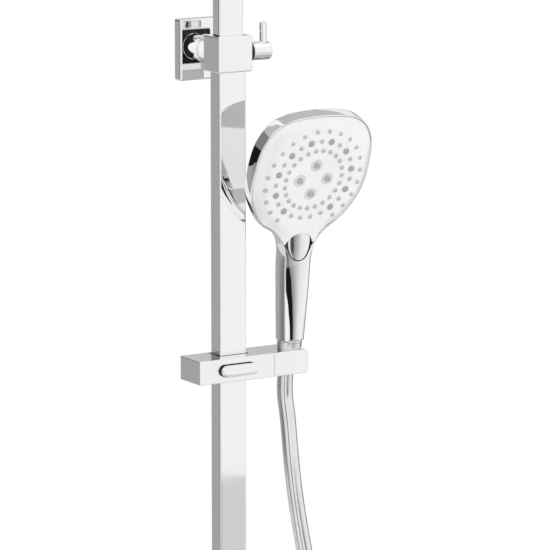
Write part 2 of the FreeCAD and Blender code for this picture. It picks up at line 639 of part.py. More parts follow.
def rain_head():
    """Ball nipple on the arm; a seat ring tips one way about it and the head the other."""
    at = ("0", "-reach")
    under = "(riser_rise - riser_deep / 2)"
    sphere = ball("ball_body", "ball_dia", "0", "-reach", BALL_Z)
    neck = rod("ball_neck", "Z", "ball_neck", at, (BALL_Z, under))
    disc = rod("ball_disc", "Z", "ball_dia", at, (f"{under} - ball_disc", under))
    stem = rod("ball_stem", "Z", "ball_stem", at, (f"{under} - 1", f"{under} + riser_wall + 1.5"))
    way = rod("ball_way", "Z", "ball_bore", at, (f"{BALL_Z} - ball_dia", "riser_rise"))
    node("ball_nipple", cut("ball_nipple", joined("ball_solid", sphere, neck, disc, stem), way))

    seat_outer = ball("seat_outer", "seat_dia", "0", "-reach", BALL_Z)
    zone = slab("seat_zone", ("-seat_dia", "seat_dia"), ("-reach - seat_dia", "seat_dia - reach"),
                (f"{BALL_Z} - seat_half", f"{BALL_Z} + seat_half"))
    belt = doc.addObject("Part::Common", "seat_belt")
    belt.Base, belt.Tool = seat_outer, zone
    seat_inner = ball("seat_inner", "ball_dia + 2 * running", "0", "-reach", BALL_Z)
    node("ball_seat", cut("ball_seat", belt, seat_inner))

    barrel = rod("socket_barrel", "Z", "socket_dia", at,
                 (f"{BALL_Z} - socket_low", f"{BALL_Z} + socket_top"))
    soft = rounded("socket_soft", barrel, S.block_round)
    cavity = ball("socket_cavity", "seat_dia + 2 * running", "0", "-reach", BALL_Z)
    node("head_socket", cut("head_socket", soft, cavity))

    boss_top = f"({BALL_Z} - socket_low)"
    shell_top = f"({BALL_Z} - socket_low - boss_tall)"
    half = "head_side / 2"
    raw = slab("shell_raw", (f"-{half}", half), (f"-reach - {half}", f"{half} - reach"),
               (f"{shell_top} - head_thick", shell_top))
    corners = rounded("shell_corners", raw, S.head_round, along("Z"))
    top_level = S.riser_rise - S.riser_deep / 2 - S.ball_drop - S.socket_low - S.boss_tall
    crowned = rounded("shell_crowned", corners, S.head_crown,
                      lambda edge: edge.BoundBox.ZMin > top_level - 1)
    boss = rod("shell_boss", "Z", "boss_dia", at, (f"{shell_top} - 1", boss_top))
    inner = "(head_side / 2 - head_wall)"
    hollow_raw = slab("shell_hollow_raw", (f"-{inner}", inner), (f"-reach - {inner}", f"{inner} - reach"),
                      (f"{shell_top} - head_thick - 1", f"{shell_top} - head_wall - head_roof"))
    hollow = rounded("shell_hollow", hollow_raw, S.head_round - S.head_wall, along("Z"))
    bore = rod("shell_bore", "Z", "ball_bore", at, (f"{shell_top} - head_thick", f"{boss_top} + 1"))
    node("head_shell", cut("head_shell", joined("shell_body", crowned, boss), hollow, bore))

    face_low = f"({shell_top} - head_thick)"
    fit = f"({inner} - 2 * slip)"
    face_raw = slab("head_face_raw", (f"-{fit}", fit), (f"-reach - {fit}", f"{fit} - reach"),
                    (face_low, f"{face_low} + head_face_thick"))
    face = rounded("head_face_soft", face_raw, S.head_round - S.head_wall - 2 * S.slip, along("Z"))
    low = top_level - S.head_thick
    places = head_nozzle_places()
    holes = [Part.makeCylinder(S.head_nozzle_dia / 2 + S.slip, S.head_face_thick + 2, Vector(x, y, low - 1))
             for x, y in places]
    node("head_face", cut("head_face", face, made("head_face_holes", Part.makeCompound(holes))))

    mat_low = low + S.head_face_thick
    mat_half = S.grid_pitch * (S.head_grid - 1) / 2 + S.head_nozzle_dia
    corner = Vector(-mat_half, -S.reach - mat_half, mat_low)
    mat = Part.makeBox(2 * mat_half, 2 * mat_half, S.head_mat_thick, corner)
    tips = []
    radius = S.head_nozzle_dia / 2
    for x, y in places:
        spot = Vector(x, y, low)
        tips.append(Part.makeCylinder(radius, S.head_face_thick, spot))
        tips.append(Part.makeCone(radius, radius / 1.5, S.head_nozzle_out, spot, Vector(0, 0, -1)))
    node("head_nozzle_mat", made("head_nozzle_mat", mat.multiFuse(tips).removeSplitter()))


def head_nozzle_places():
    """Square grid of nozzles without its four corners."""
    last = int(S.head_grid) - 1
    middle = last / 2
    places = []
    for column in range(last + 1):
        for row in range(last + 1):
            if column in (0, last) and row in (0, last):
                continue
            places.append(((column - middle) * S.grid_pitch, (row - middle) * S.grid_pitch - S.reach))
    return places


# ---------------------------------------------------------------- slider

FRONT = "(-rail_gap - slider_front)"
SLIDER_Y = (FRONT, "slider_back - rail_gap")
SLIDER_Z = ("-slider_down - slider_tall / 2", "slider_tall / 2 - slider_down")


def obround(name, wide, tall, y):
    """Flat-sided pill lying along X about the release button's axis."""
    reach = f"(({wide}) - ({tall})) / 2"
    half = f"({tall}) / 2"
    middle = slab(name + "_middle", (f"button_x - {reach}", f"button_x + {reach}"), y,
                  (f"-slider_down - {half}", f"{half} - slider_down"))
    ends = [rod(f"{name}_{side}", "Y", tall, (f"button_x {sign} {reach}", "-slider_down"), y)
            for side, sign in (("left", "-"), ("right", "+"))]
    return joined(name, middle, *ends)


def coil_spring(name, dia, wire, start, way, length, turns=4):
    """Round-wire compression spring from a point along a direction."""
    pitch = (length - wire) / turns
    helix = Part.makeHelix(pitch, length - wire, (dia - wire) / 2)
    first = Vector((dia - wire) / 2, 0, 0)
    profile = Part.Wire(Part.makeCircle(wire / 2, first, Vector(0, 1, 0)))
    coil = Part.Wire(helix).makePipeShell([profile], True, True)
    coil.translate(Vector(0, 0, wire / 2))
    coil.Placement = Placement(start, Rotation(Vector(0, 0, 1), way)).multiply(coil.Placement)
    return made(name, coil)


def slider():
    """Slider body round the rail, its liner and brake, and the release button."""
    half_wide, half_deep = "(rail_wide / 2 + slot_side)", "(rail_deep / 2 + slot_front)"
    raw = slab("slider_raw", ("-slider_left", "seam - seam_gap / 2"), SLIDER_Y, SLIDER_Z)
    soft = rounded("slider_soft", raw, S.slider_round, lambda edge: edge.BoundBox.XMin < S.seam - 1)
    slot = slab("slider_slot", (f"-{half_wide}", half_wide),
                (f"-rail_gap - {half_deep}", f"-rail_gap + {half_deep}"),
                ("-slider_down - slider_tall", "slider_tall - slider_down"))
    pocket = obround("button_pocket", "button_wide + 2 * button_slip", "button_tall + 2 * button_slip",
                     (f"{FRONT} - 1", f"{FRONT} + pocket_deep"))
    shoe_x = ("button_x - shoe_wide / 2 - slip", "button_x + shoe_wide / 2 + slip")
    shoe_z = ("-slider_down - shoe_tall / 2 - slip", "shoe_tall / 2 + slip - slider_down")
    window = slab("shoe_window", shoe_x, (f"{FRONT} + pocket_deep - 1", "-rail_gap"), shoe_z)
    at = ("-rail_gap - socket_y", "-slider_down")
    pin_hole = rod("slider_pin_hole", "X", "pin_dia + 2 * slip", at, ("0", "seam"))
    head_hole = rod("slider_head_hole", "X", "pin_head + 2 * slip", at, ("0", "pin_left"))
    node("slider_body", cut("slider_body", soft, slot, pocket, window, pin_hole, head_hole))

    liner_z = ("-slider_down - slider_tall / 2 + liner_sink", "slider_tall / 2 - liner_sink - slider_down")
    outer_wide, outer_deep = f"({half_wide} - slip)", f"({half_deep} - slip)"
    outer = slab("liner_outer", (f"-{outer_wide}", outer_wide),
                 (f"-rail_gap - {outer_deep}", f"-rail_gap + {outer_deep}"), liner_z)
    inner = tube_hollow("liner_inner")
    gap = slab("liner_gap", shoe_x, (FRONT, "-rail_gap"), shoe_z)
    head_gap = rod("liner_head_gap", "X", "pin_head + 2 * slip", at, ("0", "pin_left"))
    node("slider_liner", cut("slider_liner", outer, inner, gap, head_gap))

    node("brake_shoe", slab("brake_shoe", ("button_x - shoe_wide / 2", "button_x + shoe_wide / 2"),
                            (f"{FRONT} + pocket_deep - leaf_thick", "-rail_gap - rail_deep / 2 - shoe_gap"),
                            ("-slider_down - shoe_tall / 2", "shoe_tall / 2 - slider_down")))
    leaf = slab("brake_leaf_spring", ("button_x - shoe_wide / 2 - 1", "button_x + shoe_wide / 2 + 1"),
                (f"{FRONT} + pocket_deep - 2 * leaf_thick", f"{FRONT} + pocket_deep - leaf_thick"),
                ("-slider_down - shoe_tall / 2 + 1", "shoe_tall / 2 - 1 - slider_down"))
    node("brake_leaf_spring", leaf)

    button = obround("button_raw", "button_wide", "button_tall",
                     (f"{FRONT} - button_out", f"{FRONT} + button_in"))
    limit = -S.rail_gap - S.slider_front - S.button_out + 0.1
    node("release_button", rounded("release_button", button, S.block_round,
                                   lambda edge: edge.BoundBox.YMax < limit))
    back = -S.rail_gap - S.slider_front + S.button_in
    springs = [coil_spring(f"button_spring_{side}", S.spring_dia, S.spring_wire,
                           Vector(S.button_x + offset, back, -S.slider_down), Vector(0, 1, 0),
                           S.pocket_deep - S.button_in)
               for side, offset in (("left", -S.spring_offset), ("right", S.spring_offset))]
    node("button_springs", grouped("button_springs", *springs))

    shaft = rod("pin_shaft", "X", "pin_dia", at, ("pin_left", "pin_right"))
    head = rod("pin_head", "X", "pin_head", at, ("pin_left - pin_head_thick", "pin_left"))
    node("pivot_pin", joined("pivot_pin", shaft, head))


def tube_hollow(name):
    """The room that a sliding piece leaves round the rail."""
    half_wide, half_deep = "(rail_wide / 2 + liner_slip)", "(rail_deep / 2 + liner_slip)"
    return slab(name, (f"-{half_wide}", half_wide),
                (f"-rail_gap - {half_deep}", f"-rail_gap + {half_deep}"),
                ("-slider_down - slider_tall", "slider_tall - slider_down"))


# ---------------------------------------------------------------- holder and cone nut

def lean(thing, way, x, y_local):
    """Stand an object on the leaning axis, its own Z along it, at a distance from the pivot."""
    thing.Placement = Placement(Vector(), Rotation(Vector(1, 0, 0), S.cone_lean))
    cosine, sine = "cos(cone_lean * 1 deg)", "sin(cone_lean * 1 deg)"
    return stand(thing, x, f"-rail_gap - socket_y - ({way}) * {sine} + ({y_local}) * {cosine}",
                 f"({way}) * {cosine} + ({y_local}) * {sine} - slider_down")


def lean_rod(name, low, high, low_dia, high_dia=None):
    """A cylinder or a cone along the leaning axis."""
    thing = doc.addObject("Part::Cone" if high_dia else "Part::Cylinder", name)
    bind(thing, Height=f"({high}) - ({low})")
    if high_dia:
        bind(thing, Radius1=f"({low_dia}) / 2", Radius2=f"({high_dia}) / 2")
    else:
        bind(thing, Radius=f"({low_dia}) / 2")
    return lean(thing, low, "socket_x", "0")


def cone_dia(way, slip):
    """Diameter of the hose's cone at a distance along its axis."""
    taper = "(cone_top_dia - cone_low_dia) / (cone_top - cone_low)"
    return f"cone_low_dia + (({way}) - cone_low) * {taper} + 2 * ({slip})"


def holder():
    """End of the slider that turns on the pivot pin, with the open conical socket."""
    raw = slab("holder_raw", ("seam + seam_gap / 2", "holder_right"), SLIDER_Y, SLIDER_Z)
    ends = rounded("holder_ends", raw, S.holder_round,
                   lambda edge: along("Y")(edge) and edge.BoundBox.XMin > S.seam + 1)
    soft = rounded("holder_soft", ends, S.slider_round, lambda edge: edge.BoundBox.XMax > S.seam + 1)
    socket = lean_rod("holder_socket", "-slider_tall", "slider_tall",
                      cone_dia("-slider_tall", "cone_slip"), cone_dia("slider_tall", "cone_slip"))
    slot = doc.addObject("Part::Box", "holder_slot")
    bind(slot, Length="holder_right - socket_x + 1", Width="hose_slot", Height="2 * slider_tall")
    lean(slot, "-slider_tall", "socket_x", "-hose_slot / 2")
    at = ("-rail_gap - socket_y", "-slider_down")
    pin_hole = rod("holder_pin_hole", "X", "pin_dia + 2 * running", at, ("seam", "pin_right + 0.5"))
    washer_seat = rod("washer_seat", "X", "washer_dia + 2 * slip", at,
                      ("seam", "seam + seam_gap / 2 + washer_thick"))
    node("handset_holder", cut("handset_holder", soft, socket, slot, pin_hole, washer_seat))

    outer = rod("washer_outer", "X", "washer_dia", at,
                ("seam + seam_gap / 2", "seam + seam_gap / 2 + washer_thick"))
    hole = rod("washer_hole", "X", "pin_dia + 2 * running", at, ("seam - 1", "seam + 5"))
    node("friction_washer", cut("friction_washer", outer, hole))


def cone_nut():
    """Conical nut of the hose, which rests in the holder, and its washer."""
    cone = lean_rod("nut_cone", "cone_low", "cone_top", "cone_low_dia", "cone_top_dia")
    waist = lean_rod("nut_waist", "cone_top", "ring_low", "cone_top_dia")
    band = lean_rod("nut_band", "ring_low", "ring_top", "ring_dia")
    seat = lean_rod("nut_seat", "ring_top - thread_long - seal_thick", "ring_top + 1", "nut_bore")
    bore = lean_rod("nut_hose_bore", "cone_low - 1", "ring_top", "hose_bore")
    node("cone_nut", cut("cone_nut", joined("nut_body", cone, waist, band), seat, bore))
    disc = lean_rod("washer_disc", "ring_top - thread_long - seal_thick",
                    "ring_top - thread_long - handset_gap", "nut_bore - 4 * slip")
    core = lean_rod("washer_core", "cone_low", "ring_top", "hose_bore")
    node("cone_nut_washer", cut("cone_nut_washer", disc, core))


# ---------------------------------------------------------------- handset

HEAD_OUTLINE = (          # right half of the head's outline, in half widths: across, up
    (0.0, 1.02), (0.40, 0.995), (0.66, 0.91), (0.84, 0.755), (0.95, 0.53), (0.997, 0.20),
    (0.99, -0.10), (0.92, -0.39), (0.77, -0.65), (0.58, -0.83), (0.36, -1.0), (0.0, -1.10),
)
HEAD_STATIONS = (         # depth behind the face in dome depths, and size of the outline there
    (0.0, 0.985), (0.10, 1.0), (0.42, 0.985), (0.66, 0.91), (0.86, 0.76), (1.0, 0.50),
)
HANDLE_STATIONS = (       # place along its line, lean, half width, back, front and bulge of the front
    (0.00, 12.7, 10.8, 7.4, 6.8, 3.0),
    (0.25, 8.0, 11.2, 9.2, 8.8, 3.4),
    (0.50, 8.0, 11.9, 11.4, 10.6, 3.8),
    (0.70, 12.0, 13.6, 12.2, 11.4, 4.0),
    (0.84, 17.0, 18.5, 12.0, 11.5, 4.2),
    (1.00, 21.3, 26.0, 9.0, 7.0, 1.5),
)
HANDLE_CORNER = 4.0


def lean_point(way):
    """A point on the leaning axis."""
    turn = math.radians(S.cone_lean)
    forward = S.rail_gap + S.socket_y + way * math.sin(turn)
    return Vector(S.socket_x, -forward, way * math.cos(turn) - S.slider_down)


def face_place():
    """Frame of the spray face: X across, Y up the face, Z out of it."""
    centre = Vector(S.socket_x, -S.rail_gap - S.head_y, -S.head_down)
    return Placement(centre, Rotation(Vector(1, 0, 0), 90 + S.face_lean))


def outline_wire(scale, inset, depth):
    """The head's outline as a closed smooth curve at a depth behind the face."""
    size = scale * S.face_half - inset
    right = [Vector(x * size, y * size, -depth) for x, y in HEAD_OUTLINE]
    left = [Vector(-point.x, point.y, point.z) for point in reversed(right[1:-1])]
    curve = Part.BSplineCurve()
    curve.interpolate(Points=right + left, PeriodicFlag=True)
    return Part.Wire(curve.toShape())


def outline_face(inset, thick):
    """Flat plate with the head's outline, less an inset, flush with the face."""
    front = outline_wire(1.0, inset, 0)
    plate = Part.Face(front).extrude(Vector(0, 0, -thick))
    plate.Placement = face_place()
    return plate


def head_solid(inset, start):
    """The head's outer form, or its hollow when inset, from a depth behind the face."""
    depths = [(max(start, depth * S.dome_deep), scale) for depth, scale in HEAD_STATIONS]
    if inset:
        depths = [(start, HEAD_STATIONS[1][1])] + [(depth * S.dome_deep - S.shell_wall, scale)
                                                   for depth, scale in HEAD_STATIONS[2:]]
    shape = Part.makeLoft([outline_wire(scale, inset, depth) for depth, scale in depths], True, False)
    shape.Placement = face_place()
    return shape


def handle_wire(station, inset):
    """Flat-sided section of the handle with a bulging front."""
    share, tilt, half, back, front, bulge = station
    low = lean_point(S.handle_low)
    bend = low + Vector(0, -S.handle_bend_y, S.handle_bend_z)
    neck = Vector(S.socket_x, -S.rail_gap - S.neck_y, -S.neck_down)
    centre = low * (1 - share) ** 2 + bend * (2 * share * (1 - share)) + neck * share ** 2
    half, back, front = half - inset, back - inset, front - inset
    radius = HANDLE_CORNER - inset / 2
    turn = math.radians(tilt)

    def spot(across, behind):
        return centre + Vector(across, behind * math.cos(turn), behind * math.sin(turn))
    nick = radius * (1 - math.sqrt(0.5))
    edges = [
        Part.LineSegment(spot(radius - half, back), spot(half - radius, back)),
        Part.Arc(spot(half - radius, back), spot(half - nick, back - nick), spot(half, back - radius)),
        Part.LineSegment(spot(half, back - radius), spot(half, -front)),
        Part.Arc(spot(half, -front), spot(0, -front - bulge), spot(-half, -front)),
        Part.LineSegment(spot(-half, -front), spot(-half, back - radius)),
        Part.Arc(spot(-half, back - radius), spot(nick - half, back - nick), spot(radius - half, back)),
    ]
    return Part.Wire([edge.toShape() for edge in edges])


def handle_solid(inset):
    """The handle's outer form, or its hollow when inset."""
    return Part.makeLoft([handle_wire(station, inset) for station in HANDLE_STATIONS], True, False)


def ring_places(radius, angles):
    """Points on a ring of the spray face; angles run clockwise from the top."""
    return [(radius * math.sin(math.radians(a)), radius * math.cos(math.radians(a))) for a in angles]


def spray_places():
    """Small nozzles, larger jets and swirl discs of the spray face."""
    step = 360 / 23
    small = ring_places(S.inner_ring, [(k + 0.5) * step for k in range(23)])
    jets = []
    for k in range(-11, 12):
        place = ring_places(S.middle_ring, [k * step])
        if k % 2 and abs(k) < 11:
            jets += place
        else:
            small += place
    outer = [side * (k + 0.5) * S.outer_step for k in range(10) for side in (-1, 1)]
    small += ring_places(S.outer_ring, outer)
    return small, jets, ring_places(S.swirl_ring, [0, 90, 180, 270])


def face_rods(places, dia, low, high, high_dia=None):
    """Round pins or holes square to the spray face."""
    if high_dia is None:
        return [Part.makeCylinder(dia / 2, high - low, Vector(x, y, low)) for x, y in places]
    return [Part.makeCone(dia / 2, high_dia / 2, high - low, Vector(x, y, low)) for x, y in places]


def select_place():
    """Frame of the selector button: X across, Y up the handle, Z out of it."""
    centre = Vector(S.socket_x, -S.rail_gap - S.select_y, -S.select_down)
    return Placement(centre, Rotation(Vector(1, 0, 0), 90 + S.select_lean))


def select_pill(grow, low, high):
    """Pill-shaped prism of the selector button or of its opening."""
    radius = S.select_wide / 2 + grow
    reach = (S.select_tall - S.select_wide) / 2
    pill = Part.makeBox(2 * radius, 2 * reach, high - low, Vector(-radius, -reach, low))
    for side in (-1, 1):
        pill = pill.fuse(Part.makeCylinder(radius, high - low, Vector(0, side * reach, low)))
    return pill.removeSplitter()


def handset():
    """Shells, spray face with its nozzles, water way and selector of the hand shower."""
    place = face_place()
    small, jets, swirls = spray_places()
    handle = handle_solid(0)
    outer = head_solid(0, 0).fuse(handle)
    plate = outline_face(S.face_inset, S.face_thick)
    plate = plate.cut(handle)
    hollow = head_solid(S.face_inset + S.face_ledge, S.face_thick).fuse(handle_solid(S.shell_wall))
    pill = select_pill(S.select_slip, -S.select_deep - S.select_travel - 1, 6)
    pill.Placement = select_place()
    shell = outer.cut(plate).cut(hollow).cut(pill)
    seam_low = lean_point(S.handle_low - 1) + Vector(0, -S.seam_front, 0)
    cutter = Part.makeBox(80, 40, 94, Vector(-40, -40, 0))
    cutter.Placement = Placement(seam_low, Rotation(Vector(1, 0, 0), S.seam_lean))
    node("handset_back_shell", made("handset_back_shell", shell.cut(cutter)))
    node("handset_front_shell", made("handset_front_shell", shell.common(cutter)))

    holes = face_rods(small, S.nozzle_dia + 2 * S.slip, -S.face_thick - 1, 1)
    holes += face_rods(jets, S.jet_dia + 2 * S.slip, -S.face_thick - 1, 1)
    holes += face_rods(swirls, S.swirl_dia + 2 * S.slip, -S.face_thick - 1, 1)
    pierced = Part.makeCompound(holes)
    pierced.Placement = place
    node("spray_face", made("spray_face", plate.cut(pierced)))

    mat = Part.Face(outline_wire(1.0, S.face_inset + S.face_ledge + 2 * S.slip, S.face_thick))
    mat = mat.extrude(Vector(0, 0, -S.mat_thick))
    pins = face_rods(small, S.nozzle_dia, -S.face_thick, 0) + face_rods(jets, S.jet_dia, -S.face_thick, 0)
    pins += face_rods(small, S.nozzle_dia, 0, S.nozzle_out, S.nozzle_dia * 0.75)
    pins += face_rods(jets, S.jet_dia, 0, S.nozzle_out, S.jet_dia * 0.8)
    mat = mat.multiFuse(pins).removeSplitter()
    mat.Placement = place
    node("spray_nozzle_mat", made("spray_nozzle_mat", mat.cut(handle)))

    discs = []
    for k, (x, y) in enumerate(swirls):
        disc = Part.makeCylinder(S.swirl_dia / 2, S.face_thick, Vector(x, y, -S.face_thick))
        jet = Part.makeCone(S.jet_dia / 2, S.jet_dia * 0.4, 2 * S.nozzle_out, Vector(x, y, 0))
        disc = disc.fuse(jet).removeSplitter()
        disc.Placement = place
        discs.append(made(f"swirl_disc_{k}", disc))
    node("swirl_discs", grouped("swirl_discs", *discs))

    core_back = -S.face_thick - S.mat_thick - S.core_thick
    core = Part.makeCylinder(S.core_radius, S.core_thick, Vector(0, 0, core_back))
    core.Placement = place
    node("spray_core", made("spray_core", core.cut(handle)))

    button = select_pill(0, -S.select_deep, 0.8)
    button = button.makeFillet(1.5, [edge for edge in button.Edges if edge.BoundBox.ZMin > 0.7])
    button.Placement = select_place()
    node("select_button", made("select_button", button))

    tube_low = lean_point(S.handle_low + S.thread_neck + 0.8)
    tube_high = Vector(S.socket_x, -S.rail_gap - S.neck_y + 0.5, -S.neck_down - 2)
    way = tube_high - tube_low
    tube = Part.makeCylinder(S.water_tube / 2, way.Length, tube_low, way)
    bore_low = tube_low - way / way.Length
    tube = tube.cut(Part.makeCylinder(S.water_tube / 2 - 1.5, way.Length + 2, bore_low, way))
    node("handset_water_tube", made("handset_water_tube", tube))
    spring_end = select_place().multVec(Vector(0, 0, -S.select_deep))
    inward = select_place().Rotation.multVec(Vector(0, 0, -1))
    node("select_spring", coil_spring("select_spring", S.spring_dia, S.spring_wire, spring_end, inward,
                                      S.select_spring_long, 3))

    thread = lean_rod("inlet_thread", "ring_top - thread_long", "handle_low", "nut_bore - 2 * running")
    neck = lean_rod("inlet_neck", "handle_low", "handle_low + thread_neck", "water_tube")
    core = lean_rod("inlet_core", "0", "handle_low - 1.5", "water_bore")
    way = lean_rod("inlet_way", "0", "handle_low + thread_neck + 1", "water_tube - 3")
    node("handset_thread", cut("handset_thread", joined("inlet_body", thread, neck), core, way))


# ---------------------------------------------------------------- hose

HOSE_UPPER = (
    (60.5, -49.42, -296.69), (60.5, -45.02, -316.2), (63.4, -48.0, -344.0),
    (65.0, -50.4, -380.0), (67.15, -51.0, -400.0),
)
HOSE_MIDDLE = (
    (67.15, -51.0, -400.0), (69.3, -51.6, -420.0), (76.4, -52.6, -462.0),
    (86.0, -53.5, -508.0), (91.25, -54.0, -531.0),
)
HOSE_LOWER = (
    (91.25, -54.0, -531.0), (96.5, -54.5, -554.0), (106.5, -55.4, -606.0), (114.5, -56.2, -664.0),
    (120.5, -56.8, -727.0), (124.0, -57.2, -793.0), (125.8, -57.4, -860.0), (126.0, -57.2, -923.0),
    (125.0, -56.8, -976.0), (121.5, -56.0, -1016.0), (108.0, -55.0, -1046.0), (84.5, -53.8, -1068.0),
    (54.0, -52.6, -1079.5), (21.0, -51.4, -1078.0), (-9.0, -50.2, -1064.0), (-31.0, -49.3, -1039.5),
    (-42.5, -48.6, -1009.0), (-46.5, -48.1, -974.0), (-47.0, -47.8, -934.0), (-43.5, -47.6, -892.0),
    (-35.0, -47.5, -851.0), (-22.5, -47.4, -815.0), (-10.0, -47.3, -785.0), (-2.5, -47.2, -758.0),
    (0.0, -47.2, -737.0), (0.0, -47.2, -718.0),
)


def hose_path(points):
    """Straight runs joined by tangent arcs; each arc is as large as its two runs allow."""
    corners = [Vector(*point) for point in points]
    edges, radii, start = [], [], corners[0]
    for before, corner, after in zip(corners, corners[1:], corners[2:]):
        back, ahead = before - corner, after - corner
        trim = 0.45 * min(back.Length, ahead.Length)
        turn = math.pi - back.getAngle(ahead)
        radius = trim / math.tan(turn / 2)
        enter = corner + back.normalize() * trim
        leave = corner + ahead.normalize() * trim
        inward = (back + ahead).normalize()
        middle = corner + inward * (radius / math.cos(turn / 2) - radius)
        edges += [Part.LineSegment(start, enter).toShape(), Part.Arc(enter, middle, leave).toShape()]
        radii.append(round(radius))
        start = leave
    edges.append(Part.LineSegment(start, corners[-1]).toShape())
    return Part.Wire(edges), radii


def hose():
    """The hose in three lengths that meet end to end."""
    total = 0
    lengths = (("hose_upper", HOSE_UPPER), ("hose_middle", HOSE_MIDDLE), ("hose_lower", HOSE_LOWER))
    for label, points in lengths:
        path, radii = hose_path(points)
        way = Vector(*points[1]) - Vector(*points[0])
        profile = Part.Wire(Part.makeCircle(S.hose_dia / 2, Vector(*points[0]), way))
        tube = path.makePipeShell([profile], True, False)
        share = tube.Volume / (math.pi / 4 * S.hose_dia ** 2 * path.Length)
        print(f"{label}: {path.Length:.1f} mm long, radii {radii}, volume {share:.4f} of its section")
        node(label, made(label, tube))
        total += path.Length
    print(f"hose: {total:.1f} mm in all")


# ---------------------------------------------------------------- the column

upper_bracket()
lower_bracket()
diverter()
overhead_tube()
guide_rail()
rail_outlet()
rain_head()
slider()
holder()
cone_nut()
handset()
hose()
doc.recompute()

failed = [thing.Name for thing in doc.Objects if {"Invalid", "Error"} & set(thing.State)]
failed += [thing.Label for thing in NODES if thing.Shape.isNull() or not thing.Shape.isValid()]
if failed:
    raise SystemExit("these did not build: " + ", ".join(failed))
os.makedirs("parts", exist_ok=True)
for thing in NODES:
    thing.Shape.exportStep(f"parts/{thing.Label}.step")
print(len(NODES), "pieces written")
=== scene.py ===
"""Rainfall shower column: its looks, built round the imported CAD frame. Metres, row frame."""

import json
import math
from collections import namedtuple

import bmesh
import bpy
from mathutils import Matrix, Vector


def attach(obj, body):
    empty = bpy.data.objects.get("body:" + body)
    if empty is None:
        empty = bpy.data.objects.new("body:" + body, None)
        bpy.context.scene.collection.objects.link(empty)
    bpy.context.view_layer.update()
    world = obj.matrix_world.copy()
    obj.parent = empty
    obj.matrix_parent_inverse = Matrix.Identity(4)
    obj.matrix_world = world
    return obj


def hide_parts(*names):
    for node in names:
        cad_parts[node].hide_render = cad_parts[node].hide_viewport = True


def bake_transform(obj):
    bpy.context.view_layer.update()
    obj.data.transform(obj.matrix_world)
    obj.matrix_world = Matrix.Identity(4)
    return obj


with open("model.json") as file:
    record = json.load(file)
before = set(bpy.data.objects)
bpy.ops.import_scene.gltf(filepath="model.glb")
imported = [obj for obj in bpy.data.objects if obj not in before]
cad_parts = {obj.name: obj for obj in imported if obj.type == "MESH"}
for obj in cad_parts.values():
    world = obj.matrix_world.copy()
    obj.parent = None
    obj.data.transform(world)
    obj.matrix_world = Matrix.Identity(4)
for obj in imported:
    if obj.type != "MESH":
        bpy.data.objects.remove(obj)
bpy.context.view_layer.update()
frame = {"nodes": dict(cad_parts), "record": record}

# ---------------------------------------------------------------- sizes

MM = 0.001
RAIL_Y = -0.0472               # axis of the rail, the riser and the arms' far end
SLIDER_Z = -0.2879             # middle of the slider and the holder
HANDSET_X = 0.0605             # plane that the hand shower leans in
HOSE_DIAMETER = 0.0148
LOWER_BRACKET_Z = -0.65        # middle of the lower bracket; the upper one is at 0
FLOOR_Z = -1.16
CARD_CENTRE = (0.03, -0.06, -0.15)
CARD_DISTANCE = 14.0
CARD_STEP = 4                  # degrees between a card's columns

# Reflector cards: name, elevations, and tone by azimuth; 0 is in front, 90 to the right
CARDS = (
    ("back_floor", (-60, -14), ((123, 0.5), (183, 0.5))),
    ("back_low", (-14, 2), ((123, 0.5), (183, 0.5))),
    ("back_level", (2, 17), ((100, 0.6), (125, 0.56), (183, 0.56))),
    ("back_upper", (17, 36), ((100, 0.6), (125, 0.9), (165, 0.9), (183, 0.5))),
    ("back_high", (36, 85), ((100, 0.6), (125, 0.56), (183, 0.5))),
    ("side_floor", (-60, -20), ((-178, 0.7), (-100, 0.8))),
    ("side_level", (-20, -5.2), ((-178, 0.42), (-155, 0.40), (-146, 0.38), (-135, 0.22), (-120, 0.10),
                                 (-100, 0.10))),
    ("side_dark", (-5.2, 9), ((-178, 0.01), (-100, 0.01))),
    ("side_grey", (9, 32), ((-178, 0.22), (-100, 0.22))),
    ("side_high", (32, 85), ((-178, 0.5), (-100, 0.55))),
    ("camera_side", (-42, 10), ((-49, 0.02), (-35, 0.02))),
    ("front_floor", (-60, -23), ((-31, 1.0), (-6.5, 1.0), (-6, 0.2), (10.5, 0.2), (11, 0.35), (25, 0.6),
                                 (40, 0.85), (75, 0.95))),
    ("front_low", (-23, -14.2), ((-31, 1.0), (-6.5, 1.0), (-6, 0.01), (10.5, 0.01), (11, 0.25), (25, 0.55),
                                 (40, 0.85), (60, 0.95), (75, 0.95))),
    ("front_level", (-14.2, 40), ((-20, 0.955), (75, 0.955))),
    ("right_level", (-60, 40), ((75.5, 0.9), (94.5, 0.72))),
    ("left_level", (-30, 25), ((-99, 0.7), (-62, 0.85))),
    ("right_dark", (-60, 0), ((95, 0.02), (122, 0.02))),
    ("below", (-84, -60), ((-178, 0.15), (183, 0.15))),
)

